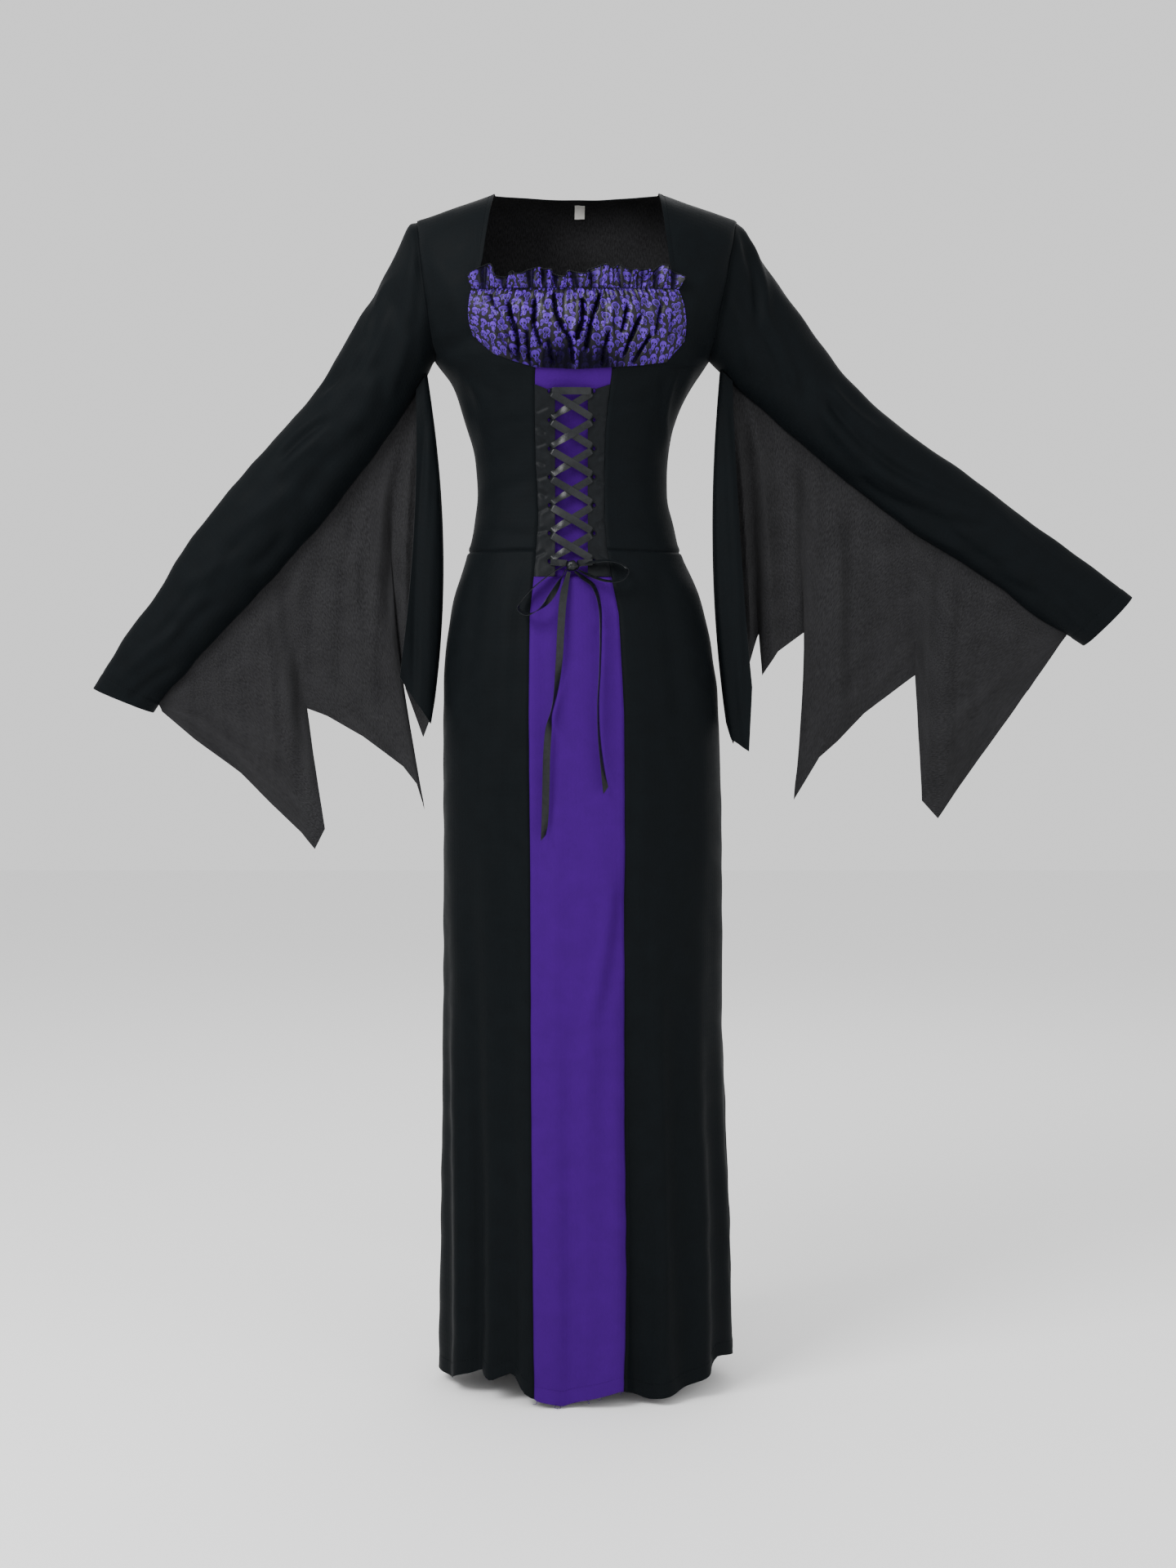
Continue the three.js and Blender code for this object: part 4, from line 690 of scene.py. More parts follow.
def stitches(line, ways_out, pitch=3.4, share=0.62, lift=0.15):
    """Short threads along a line, with gaps between them."""
    along = run(line)
    made = []
    for start in np.arange(0, along[-1] - pitch, pitch):
        at = start + np.array([0, 0.2, 0.8, 1]) * pitch * share
        place = np.stack([np.interp(at, along, line[:, k]) for k in range(3)], -1)
        out = np.stack([np.interp(at, along, ways_out[:, k]) for k in range(3)], -1)
        made.append(place + out * (lift * np.array([-1.5, 1, 1, -1.5]))[:, None])
    return made


def stitching(name, ways, radius, colour="black", slot="black_knit"):
    """A sewn line in the colour of its cloth."""
    made = threads(name + "_stitching", ways, radius, MATERIALS[colour])
    return finish_piece(made, slot)


def add(tree, kind, inputs=(), **settings):
    """Adds one node; an input, by its place or name, is a value or another node's socket."""
    node = tree.nodes.new("ShaderNode" + kind)
    for name, value in settings.items():
        setattr(node, name, value)
    for key, value in inputs.items() if isinstance(inputs, dict) else enumerate(inputs):
        if isinstance(value, bpy.types.NodeSocket):
            tree.links.new(value, node.inputs[key])
        elif value is not None:
            node.inputs[key].default_value = value
    return node.outputs


def new_material(name):
    """An empty material and its node tree."""
    material = bpy.data.materials.new(name)
    material.use_nodes = True
    material.node_tree.nodes.clear()
    return material, material.node_tree


def clouded(tree, place, noise, span, dark, light):
    """Two tones in slow clouds: the clouds, and their colour."""
    cloud = add(tree, "TexNoise", (place, None, *noise))[0]
    tone = add(tree, "MapRange", (cloud, *span, 0.0, 1.0))[0]
    return cloud, add(tree, "Mix", {0: tone, 6: (*dark, 1), 7: (*light, 1)}, data_type="RGBA")[2]


def finish_cloth(tree, height, strength, depth, skin):
    """The relief, the finish and the output that end each cloth's material."""
    bump = add(tree, "Bump", {"Strength": strength, "Distance": depth, "Height": height})[0]
    finish = add(tree, "BsdfPrincipled", {**skin, "IOR": 1.5, "Normal": bump})[0]
    add(tree, "OutputMaterial", (finish,))


def jersey(name, colour, light, roughness, sheen, seed):
    """Smooth polyester jersey, knitted and pressed: fine upright ribs of loops, a soft even
    sheen with no sharp highlight, and faint cloudiness where the nap lies differently."""
    material, tree = new_material(name)
    place = add(tree, "UVMap", uv_map="UVMap")[0]
    # loops are 0.5 mm apart, drawn ten times as coarse so that a trace of them shows
    loops = add(
        tree, "TexWave", (place, 62.0, 1.2, 1.0), wave_type="BANDS", bands_direction="X")[1]
    courses = add(
        tree, "TexWave", (place, 50.0, 0.8, 1.0), wave_type="BANDS", bands_direction="Y")[1]
    weave = add(tree, "Math", (loops, courses), operation="MULTIPLY")[0]
    cloud, shade = clouded(tree, place, (38.0 + seed, 3.0, 0.55), (0.3, 0.7), colour, light)
    fine = add(tree, "TexNoise", (place, None, 900.0, 2.0, 0.5))[0]
    rough = add(tree, "MapRange", (cloud, 0.3, 0.7, roughness - 0.05, roughness + 0.05))[0]
    height = add(tree, "Math", (weave, fine), operation="ADD")[0]
    finish_cloth(tree, height, 0.22, 0.0004, {
        "Base Color": shade, "Roughness": rough, "Specular IOR Level": 0.04,
        "Sheen Weight": sheen, "Sheen Roughness": 0.45, "Sheen Tint": (0.9, 0.93, 1.0, 1.0),
    })
    return material


def brushed_wrong_side(name, colour, light):
    """Wrong side of polyester jersey, knitted and left unpressed: dull, hairy and mottled in
    short slanted streaks, about 1.5 mm wide and 5 mm long."""
    material, tree = new_material(name)
    place = add(tree, "UVMap", uv_map="UVMap")[0]
    streaked = add(tree, "Mapping", (place, None, (0, 0, -0.7), (1.0, 0.28, 1.0)))[0]
    mottle = add(tree, "TexNoise", (streaked, None, 720.0, 3.0, 0.6))[0]
    cloud = add(tree, "TexNoise", (place, None, 24.0, 2.0, 0.4))[0]
    both = add(tree, "Math", (cloud, 0.25, mottle), operation="MULTIPLY_ADD")[0]
    tone = add(tree, "MapRange", (both, 0.44, 0.82, 0.0, 1.0))[0]
    shade = add(tree, "Mix", {0: tone, 6: (*colour, 1), 7: (*light, 1)}, data_type="RGBA")[2]
    finish_cloth(tree, mottle, 0.5, 0.0006, {
        "Base Color": shade, "Roughness": 0.92, "Specular IOR Level": 0.08,
        "Sheen Weight": 0.02, "Sheen Roughness": 0.6,
    })
    return material


def satin(name, colour, light, roughness, shine):
    """Polyester satin, woven with long floats: a soft, wide highlight that slides along the
    folds, with fine lines along the floats."""
    material, tree = new_material(name)
    place = add(tree, "UVMap", uv_map="UVMap")[0]
    # floats are 0.2 mm apart, drawn twice as coarse so that they show
    floats = add(
        tree, "TexWave", (place, 780.0, 0.6, 1.0), wave_type="BANDS", bands_direction="X")[1]
    _, shade = clouded(tree, place, (160.0, 2.0, 0.5), (0.35, 0.65), colour, light)
    rough = add(tree, "MapRange", (floats, 0.0, 1.0, roughness - 0.04, roughness + 0.05))[0]
    finish_cloth(tree, floats, 0.08, 0.0002, {
        "Base Color": shade, "Roughness": rough, "Specular IOR Level": shine,
    })
    return material


def skull_layer(tree, place, cell, seed, least, most):
    """One loose repeat of small plain skulls: how bright its print is at each place, and where
    the cloth well clear of it is bare.
    The cell and both widths of a head are in millimetres."""
    per_metre = (1000 / cell[0], 1000 / cell[1], 1.0)
    count = add(tree, "VectorMath", (place, per_metre), operation="MULTIPLY")[0]
    moved = add(tree, "VectorMath", (count, (seed, seed * 0.7, 0.0)), operation="ADD")[0]
    across, up, _ = add(tree, "SeparateXYZ", (moved,))
    column = add(tree, "Math", (across,), operation="FLOOR")[0]
    # each column of heads starts at a height of its own
    start = add(tree, "TexWhiteNoise", {"W": column}, noise_dimensions="1D")[0]
    along = add(tree, "Math", (up, start), operation="ADD")[0]
    row = add(tree, "Math", (along,), operation="FLOOR")[0]
    number = add(tree, "CombineXYZ", (column, row, seed))[0]
    noise = add(tree, "TexWhiteNoise", (number,), noise_dimensions="3D")[1]
    draws = add(tree, "SeparateColor", (noise,))
    away = []
    for at, cell_start, draw, low, high in (
            (across, column, draws[2], 0.45, 0.55), (along, row, draws[1], 0.56, 0.61)):
        middle = add(tree, "MapRange", (draw, 0.0, 1.0, low, high))[0]
        middle = add(tree, "Math", (cell_start, middle), operation="ADD")[0]
        away.append(add(tree, "Math", (at, middle), operation="SUBTRACT")[0])
    away = add(tree, "CombineXYZ", (*away, 0.0))[0]
    local = add(tree, "VectorMath", (away, (*cell, 0.0)), operation="MULTIPLY")[0]
    angle = add(tree, "MapRange", (draws[0], 0.0, 1.0, -0.38, 0.38))[0]
    turned = add(tree, "VectorRotate", {"Vector": local, "Angle": angle}, rotation_type="Z_AXIS")[0]
    shrink = add(tree, "MapRange", (draws[1], 0.0, 1.0, 1 / least, 1 / most))[0]
    head_place = add(tree, "VectorMath", {0: turned, "Scale": shrink}, operation="SCALE")[0]
    halves = add(tree, "SeparateXYZ", (head_place,))
    side = add(tree, "Math", (halves[0],), operation="ABSOLUTE")[0]
    mirrored = add(tree, "CombineXYZ", (side, halves[1], 0.0))[0]
    # each part of the head is an oval: its middle, and one over its half sizes
    ovals = {
        "crown": ((0, 0.14, 0), (1 / 0.50, 1 / 0.44, 1)),
        "jaw": ((0, -0.42, 0), (1 / 0.23, 1 / 0.40, 1)),
        "eye": ((0.18, -0.04, 0), (1 / 0.125, 1 / 0.155, 1)),
        "nose": ((0, -0.27, 0), (1 / 0.05, 1 / 0.08, 1)),
        "mouth": ((0, -0.55, 0), (1 / 0.12, 1 / 0.035, 1)),
    }
    far = {}
    for part, (middle, stretch) in ovals.items():
        there = add(tree, "VectorMath", (mirrored, middle), operation="SUBTRACT")[0]
        sized = add(tree, "VectorMath", (there, stretch), operation="MULTIPLY")[0]
        far[part] = add(tree, "VectorMath", (sized,), operation="LENGTH")[1]
    head = add(tree, "Math", (far["crown"], far["jaw"], 0.3), operation="SMOOTH_MIN")[0]
    filled = add(tree, "MapRange", (head, 0.94, 1.02, 1.0, 0.0))[0]
    rim = add(tree, "MapRange", (head, 0.72, 0.8, 0.0, 1.0))[0]
    holes = filled
    for part in ("eye", "nose", "mouth"):
        clear = add(tree, "MapRange", (far[part], 0.85, 1.1, 0.0, 1.0))[0]
        holes = add(tree, "Math", (holes, clear), operation="MULTIPLY")[0]
    # some heads are printed whole, others as little more than their rim
    face = add(tree, "MapRange", (draws[2], 0.2, 0.6, 0.3, 1.0))[0]
    tone = add(tree, "Math", (rim, face), operation="MAXIMUM")[0]
    bare = add(tree, "MapRange", (head, 1.12, 1.2, 0.0, 1.0))[0]
    return add(tree, "Math", (holes, tone), operation="MULTIPLY")[0], bare


def printed_satin(name, ground, ink, bright):
    """Polyester satin, woven and printed: black ground, small violet skulls in two sizes, with
    the soft shine of satin over both."""
    material, tree = new_material(name)
    place = add(tree, "UVMap", uv_map="UVMap")[0]
    large, bare = skull_layer(tree, place, (14.5, 18.0), 3.0, 9.0, 11.5)
    tilted = add(tree, "VectorRotate", {"Vector": place, "Angle": 0.12}, rotation_type="Z_AXIS")[0]
    small, _ = skull_layer(tree, tilted, (9.0, 12.0), 11.5, 4.8, 6.4)
    between = add(tree, "Math", (small, bare), operation="MULTIPLY")[0]
    marks = add(tree, "Math", (large, between), operation="MAXIMUM")[0]
    _, violet = clouded(tree, place, (130.0, 2.0, 0.5), (0.35, 0.65), ink, bright)
    shade = add(tree, "Mix", {0: marks, 6: (*ground, 1), 7: violet}, data_type="RGBA")[2]
    # painted shade: the print's colour and shine are darkened where the attribute marks deep folds,
    # gathers and the panel's foot
    crushed = add(tree, "Attribute", attribute_name="crushed")[2]
    deep = add(tree, "MapRange", (crushed, 0.0, 0.85, 0.0, 0.97))[0]
    shine = add(tree, "MapRange", (crushed, 0.0, 0.85, 0.2, 0.03))[0]
    dark = add(tree, "Mix", {0: deep, 6: shade, 7: (0.0025, 0.002, 0.006, 1)}, data_type="RGBA")[2]
    # floats are 0.2 mm apart, drawn 2.6 mm apart, which is how the gathered satin's lines show
    floats = add(
        tree, "TexWave", (place, 120.0, 0.6, 1.0), wave_type="BANDS", bands_direction="Y")[1]
    finish_cloth(tree, floats, 0.15, 0.0003, {
        "Base Color": dark, "Roughness": 0.4, "Specular IOR Level": shine,
        "Sheen Weight": 0.02, "Sheen Roughness": 0.3,
    })
    return material


def plain_stage(name, colour):
    """Matt painted board: pale, even and without gloss."""
    material, tree = new_material(name)
    place = add(tree, "TexCoord")[3]
    grain = add(tree, "TexNoise", {0: place, 2: 30.0})[0]
    rough = add(tree, "MapRange", (grain, 0.0, 1.0, 0.85, 0.95))[0]
    skin = add(tree, "BsdfPrincipled", {"Base Color": (*colour, 1), "Roughness": rough})[0]
    add(tree, "OutputMaterial", (skin,))
    return material


def size_setting(name, description, metres):
    """A length that a user may change."""
    return bpy.props.FloatProperty(
        name=name, description=description, default=metres, unit="LENGTH")


def colour_setting(name, description, value):
    """A colour that a user may change, from its sRGB hex value."""
    return bpy.props.FloatVectorProperty(
        name=name, description=description, default=linear(value), subtype="COLOR", min=0, max=1)


class GownSizes(bpy.types.PropertyGroup):
    """Sizes that a user may change, in metres."""

    cloth: size_setting("Cloth", "Thickness of the knit", 0.0012)
    satin: size_setting("Satin", "Thickness of print and plackets", 0.0009)
    ribbon: size_setting("Ribbon", "Width of the lace ribbon", 0.0085)
    ribbon_thickness: size_setting("Ribbon thickness", "Thickness of the lace ribbon", 0.00045)
    ruffle_swing: size_setting("Ruffle swing", "How far the ruffle waves out and in", 0.0038)
    thread: size_setting("Thread", "Radius of the sewing thread", 0.00028)


class GownColours(bpy.types.PropertyGroup):
    """Colours that a user may change."""

    black: colour_setting("Black knit", "Right side of the black knit", "#080b0d")
    purple: colour_setting("Purple knit", "Centre skirt and modesty panel", "#2f0457")
    wrong_side: colour_setting("Wrong side", "Dull side of the wings", "#131314")
    ground: colour_setting("Print ground", "Black of the printed satin", "#0d0c13")
    ink: colour_setting("Print ink", "Violet of the printed skulls", "#471f8e")
    satin: colour_setting("Black satin", "Plackets and lace ribbon", "#0d0f11")
    label: colour_setting("Label", "White woven tape", "#e4e2dc")


MATERIALS = {}


def scaled(colour, factor):
    """A lighter or darker tone of a colour."""
    return tuple(min(1.0, c * factor) for c in colour)


def make_materials(colours):
    """Fills MATERIALS from the colours."""
    names = ("black", "purple", "wrong_side", "satin", "ink", "label")
    black, purple, grey, plain, ink, white = (tuple(getattr(colours, name)) for name in names)
    MATERIALS.update({
        "black": jersey("polyester_jersey_black", black, scaled(black, 1.25), 0.62, 0.005, 0),
        "purple": jersey("polyester_jersey_purple", purple, scaled(purple, 1.1), 0.68, 0.003, 7),
        "wrong": brushed_wrong_side("polyester_jersey_wrong_side", grey, scaled(grey, 3.0)),
        "placket": satin("polyester_satin_black", plain, scaled(plain, 1.3), 0.46, 0.07),
        "ribbon": satin("satin_ribbon_black", plain, scaled(plain, 1.6), 0.3, 0.2),
        "print": printed_satin(
            "printed_satin_skulls", tuple(colours.ground), ink, scaled(ink, 1.35)),
        "label": satin("woven_tape_white", white, scaled(white, 1.1), 0.7, 0.3),
    })


def ribbon_strip(path, across, widths, crown):
    """A grid of points for a ribbon: across each place of its way it is slightly crowned."""
    share = np.linspace(-1, 1, 7)
    tangent = unit(np.gradient(path, axis=0))
    across = unit(across - (across * tangent).sum(-1, keepdims=True) * tangent)
    out = np.cross(tangent, across)
    out *= np.sign(-out[len(path) // 2, 1]) or 1
    rise = crown * (1 - share**2)
    return (
        path[:, None]
        + across[:, None] * (share[:, None] * np.asarray(widths)[:, None, None] / 2)
        + out[:, None] * rise[:, None]
    )


def bow_path(rows, count):
    """A smooth way through the rows of a bow ribbon."""
    base = on_front(rows[:, 0], rows[:, 2], BOW_LIFT)
    knots = np.stack([rows[:, 0], base[:, 1] - rows[:, 1], rows[:, 2]], -1)
    length = np.concatenate([[0], np.cumsum(np.linalg.norm(np.diff(knots, axis=0), axis=1) ** 0.5)])
    at = np.linspace(0, length[-1], count)
    return np.stack([curved(at, length, knots[:, k]) for k in range(3)], -1)


class GOWN_OT_stage(bpy.types.Operator):
    """Camera at the front, soft studio light and a plain pale floor"""

    bl_idname = "gown.stage"
    bl_label = "Stage"

    # name, place, size in metres, watts
    LAMPS = (
        ("key", (-1.6, -1.8, 1.1), 1.4, 104),
        ("fill", (2.2, -2.4, 0.1), 2.4, 26),
        ("front", (0.2, -3.6, 0.4), 2.0, 22),
        ("back", (0.4, 2.2, 1.2), 2.0, 24),
    )
    AIM = (0, 0, -0.6)

    def execute(self, context):
        scene = context.scene
        camera = bpy.data.cameras.new("camera")
        camera.lens = LENS
        camera.shift_x, camera.shift_y = (shift / PHOTO_HEIGHT for shift in CAMERA_SHIFT)
        holder = bpy.data.objects.new("camera", camera)
        holder.location = CAMERA_PLACE
        holder.rotation_euler = (math.pi / 2, 0, 0)
        scene.collection.objects.link(holder)
        scene.camera = holder

        scene.world = bpy.data.worlds.new("studio")
        scene.world.use_nodes = True
        background = scene.world.node_tree.nodes["Background"]
        background.inputs[0].default_value = (1, 1, 1, 1)
        background.inputs[1].default_value = 1.1
        for name, place, size, power in self.LAMPS:
            data = bpy.data.lights.new(name, "AREA")
            data.size = size
            data.energy = power
            lamp = bpy.data.objects.new(name, data)
            lamp.location = place
            aim = np.array(self.AIM) - np.array(place)
            yaw = math.atan2(aim[1], aim[0])
            pitch = math.atan2(math.hypot(aim[0], aim[1]), -aim[2])
            lamp.rotation_euler = (pitch, 0, yaw - math.pi / 2)
            scene.collection.objects.link(lamp)

        bpy.ops.object.select_all(action="DESELECT")
        bpy.ops.mesh.primitive_plane_add(size=14, location=(0, 0, FLOOR))
        floor = context.active_object
        floor.name = "floor"
        floor.data.materials.append(plain_stage("painted_board_white", linear("#f4f4f4")))
        make_materials(scene.gown_colours)
        return {"FINISHED"}


class GOWN_OT_bow(bpy.types.Operator):
    """Knot, two loops and two tails of the lace ribbon"""

    bl_idname = "gown.bow"
    bl_label = "Bow"

    # place along the ribbon, turn of its width from sideways to front-to-back
    TURNS = {
        "bow_loop_right": ((0, 1.2), (0.45, 1.45), (0.55, 1.3), (0.8, 0.7), (1, 1.6)),
        "bow_loop_left": ((0, 1.9), (0.4, 1.6), (0.6, 1.5), (1, 1.5)),
        "bow_tail_right": ((0, 0.2), (0.3, 0.35), (0.52, 1.25), (0.6, 0.5), (0.85, 0.3), (1, 0.9)),
        "bow_tail_left": ((0, 0.9), (0.2, 1.2), (0.5, 1.35), (0.85, 1.2), (1, 0.75)),
    }

    def execute(self, context):
        sizes = context.scene.gown_sizes
        width = sizes.ribbon / MM
        for name, rows in BOW_WAYS.items():
            loop = "loop" in name
            path = bow_path(rows, 90 if loop else 120)
            share = np.linspace(0, 1, len(path))
            knots = np.array(self.TURNS[name])
            turn = curved(share, knots[:, 0], knots[:, 1])
            across = np.stack([np.cos(turn), np.sin(turn), np.full_like(turn, 0.35)], -1)
            pinch = smooth(share / 0.1) * (smooth((1 - share) / 0.1) if loop else 1)
            widths = width * (0.55 + 0.45 * pinch)
            grid = ribbon_strip(path, across, widths, 0.35)
            if not loop:
                # both tails are cut off at a slant
                slant = np.linspace(0, 7, grid.shape[1])[None, :, None]
                end = smooth((share[:, None, None] - 0.93) / 0.07)
                grid = grid - unit(np.gradient(path, axis=0))[-1] * slant * end
            piece = sew_cloth(
                name + "_ribbon", grid, (0, -1, 0), sizes.ribbon_thickness / MM,
                [MATERIALS["ribbon"]])
            finish_piece(piece, "ribbon_satin", name)
        self.knot(context)
        return {"FINISHED"}

    def knot(self, context):
        """The ribbon's wrap over the crossing: an uneven band, pulled in at its ends."""
        centre = on_front(KNOT[0], KNOT[1], KNOT[2])
        bpy.ops.object.select_all(action="DESELECT")
        bpy.ops.mesh.primitive_uv_sphere_add(segments=40, ring_count=24, radius=0.5)
        knot = context.active_object
        knot.name = "bow_knot_ribbon"
        count = len(knot.data.vertices)
        points = np.empty(count * 3, np.float32)
        knot.data.vertices.foreach_get("co", points)
        points = points.reshape(-1, 3).astype(float)
        way = unit(points)
        angle = np.arctan2(way[:, 2], way[:, 0])
        wrap = 0.48 + 0.04 * np.cos(3 * angle + 1.2) + 0.02 * np.sin(2.2 * way[:, 0] * np.pi)
        wrap -= 0.06 * bell(way[:, 2] - 0.35 * way[:, 0], 0.16)
        points = way * wrap[:, None] * np.array((15, 11, 13))
        points = (points + centre) * MM
        knot.data.vertices.foreach_set("co", points.astype(np.float32).ravel())
        knot.data.materials.append(MATERIALS["ribbon"])
        knot.data.update()
        pick(knot)
        bpy.ops.object.shade_smooth()
        finish_piece(knot, "ribbon_satin", "bow_knot")


def eyelet_height(k):
    """The eyelets are evenly spaced, counted from the top."""
    return EYELET_TOP - EYELET_STEP * k


class GOWN_OT_lacing(bpy.types.Operator):
    """The lace ribbon between the eyelets: a bar, six crossings and both ends to the bow"""

    bl_idname = "gown.lacing"
    bl_label = "Lacing"

    def stretch(self, start, end, rise, width, curl):
        """One stretch of ribbon from eyelet to eyelet, dipping into both."""
        clear, dip = 1.9, 1.8
        t = np.linspace(0, 1, 46)
        ends = np.minimum(t, 1 - t)
        out = clear + rise * np.sin(np.pi * t) ** 1.2 - (clear + dip) * (1 - smooth(ends / 0.07))
        x = start[0] + (end[0] - start[0]) * t
        z = start[1] + (end[1] - start[1]) * t
        path = on_front(x, z, out)
        tangent = unit(np.gradient(path, axis=0))
        normal = unit(on_front(x, z, out + 1) - on_front(x, z, out - 1))
        across = unit(np.cross(normal, tangent))
        lean = curl * np.sin(np.pi * t * 2) - 0.5 * bell(t - 0.16, 0.12) * (end[1] > start[1])
        across = across + normal * lean[:, None]
        widths = width * (0.6 + 0.4 * smooth(ends / 0.1))
        return ribbon_strip(path, across, widths, 0.12)

    def execute(self, context):
        sizes = context.scene.gown_sizes
        width = sizes.ribbon / MM
        left, right = EYELET_X["left"], EYELET_X["right"]
        grids = [self.stretch((left, EYELET_TOP), (right, EYELET_TOP), 0.8, width, 0.1)]
        nodes = ["lace_bar"]
        for k in range(EYELETS - 1):
            # the ribbon leaves each eyelet 1 mm off its middle
            high, low = eyelet_height(k) - 1.0, eyelet_height(k + 1) + 1.0
            down_over = k % 2 == 0 or k > 2
            rises = (2.6, 0.2) if down_over else (0.2, 2.6)
            curl = 0.14 * math.sin(2.3 * k + 1)
            grids.append(self.stretch((left, high), (right, low), rises[0], width, curl))
            grids.append(self.stretch((left, low), (right, high), rises[1], width, -0.2 - curl))
            nodes += [f"lace_down_{k + 1}", f"lace_up_{k + 1}"]
        for side, eyelet in (("right", left), ("left", right)):
            goal = KNOT[0] + math.copysign(5, eyelet - KNOT[0])
            high = eyelet_height(EYELETS - 1) - 1
            grids.append(self.stretch((eyelet, high), (goal, KNOT[1] + 3), 2.4, width * 0.9, 0.1))
            nodes.append(f"lace_end_{side}")
        points, faces, uvs, start = [], [], [], 0
        for grid in grids:
            rows, cols = grid.shape[:2]
            middle = surface_normals(grid)[rows // 2, cols // 2]
            part, corners = facing(*grid_faces(rows, cols, start=start), middle)
            points.append(grid.reshape(-1, 3))
            faces += part.tolist()
            uvs.append(flat_places(grid)[corners[..., 0], corners[..., 1]].reshape(-1, 2))
            start += rows * cols
        lace = make_mesh(
            "lace", np.concatenate(points), faces, [MATERIALS["ribbon"]], np.concatenate(uvs))
        thicken(lace, sizes.ribbon_thickness / MM)
        finish_piece(lace, "ribbon_satin", *nodes)
        return {"FINISHED"}


def bodice_height(turn):
    """Heights of a bodice's rows: level up to the underarm, then to the shoulder seam."""
    top = np.zeros(len(turn))
    for _ in range(8):
        top = shoulder_line(body(turn, top)[..., 0])
    low = levels(WAIST, UNDERARM, 4.2)[:, None]
    share = 1 - (1 - np.linspace(0, 1, BODICE_ROWS + 1)[1:]) ** 1.7
    upper = UNDERARM + (top[None] - UNDERARM) * share[:, None]
    return np.concatenate([np.broadcast_to(low, (len(low), len(turn))), upper])


def away_from_side(turn):
    """Creases fade out towards the side seams."""
    return smooth((np.abs(np.cos(turn)) - 0.04) / 0.22)


def dress_body(name, turn, z, creases, edges, thickness, colour):
    """A panel that follows the body, with its creases, and its edges' seams and hems: for each,
    the edge, the hem's depth or SEAM, and the lowest and highest place of it."""
    points = body(turn, z)
    normals = body_normals(turn, z)
    out = relief(points[..., 0], z, creases) * away_from_side(turn)
    out = out + unevenness(points, 0.5, 60, 5)
    away = edge_distances(points)
    sewn = np.zeros(out.shape)
    # the armhole and the shoulder seam are pressed flatter than the others
    press = np.where(z > UNDERARM, 0.3, 1.0)
    for edge, hem, lowest, highest in edges:
        line = seam_line(away[edge]) * press if hem == SEAM else hem_line(away[edge], hem)
        sewn = sewn + line * smooth((z - lowest) / 6 + 0.5) * smooth((highest - z) / 6 + 0.5)
    moved = points + normals * (out + np.maximum(sewn, -1.5))[..., None]
    way = (0, -1, 0) if np.cos(turn[0, turn.shape[1] // 2]) > 0 else (0, 1, 0)
    sides = [MATERIALS[colour], MATERIALS["wrong" if colour == "black" else colour]]
    return sew_cloth(name + "_cloth", moved, way, thickness, sides), moved, normals


class GOWN_OT_bodice(bpy.types.Operator):
    """Both front pieces and the plain back piece of the bodice"""

    bl_idname = "gown.bodice"
    bl_label = "Bodice"

    def execute(self, context):
        sizes = context.scene.gown_sizes
        thick, radius = sizes.cloth / MM, sizes.thread / MM
        neck_foot = -88
        stitched = NECK_HEM + 0.2
        share = shares([95.0], 24)[0]
        for name, side, last in (
            ("front_bodice_right", "left", -SIDE), ("front_bodice_left", "right", SIDE),
        ):
            top = seam_turn(side, NECK_HEIGHT)
            z = bodice_height(top + (last - top) * share)
            inner = seam_turn(side, z)
            turn = inner + (last - inner) * share
            edges = (
                ("left", NECK_HEM, neck_foot, 40), ("left", SEAM, -460, -200),
                ("right", SEAM, *EVERYWHERE), ("first", SEAM, *EVERYWHERE),
                ("last", SEAM, *EVERYWHERE),
            )
            piece, moved, normals = dress_body(
                name, turn, z, FRONT_CREASES, edges, thick, "black")
            finish_piece(piece, "black_knit", name)
            rows = z[:, 6] > neck_foot + 4
            near = np.argmin(np.abs(edge_distances(moved)["left"] - stitched)[rows], 1)
            pickup = (np.arange(rows.sum()), near)
            ways = stitches(moved[rows][pickup], normals[rows][pickup])
            stitching(name, ways, radius)
        neck_left = math.pi - seam_turn("left", NECK_HEIGHT)
        neck_right = math.pi - seam_turn("right", NECK_HEIGHT)
        first, last = math.pi - SIDE, math.pi + SIDE
        inner = np.concatenate([
            np.linspace(first, neck_right, 28)[:-1], np.linspace(neck_right, neck_left, 50),
            np.linspace(neck_left, last, 28)[1:],
        ])
        near = FINE / 140
        turn = np.sort(np.concatenate([first + near, inner[1:-1], last - near[::-1]]))
        z = bodice_height(turn)
        edges = (
            ("left", SEAM, *EVERYWHERE), ("right", SEAM, *EVERYWHERE),
            ("first", SEAM, *EVERYWHERE), ("last", NECK_HEM, -60, 60),
        )
        piece, moved, normals = dress_body(
            "back_bodice", np.broadcast_to(turn, z.shape), z, BACK_CREASES, edges, thick, "black")
        finish_piece(piece, "black_knit", "back_bodice")
        columns = (turn > neck_right) & (turn < neck_left)
        near = np.argmin(np.abs(edge_distances(moved)["last"] - stitched)[:, columns], 0)
        pickup = (near, np.arange(columns.sum()))
        ways = stitches(moved[:, columns][pickup], normals[:, columns][pickup])
        stitching("back_neck", ways, radius)
        return {"FINISHED"}


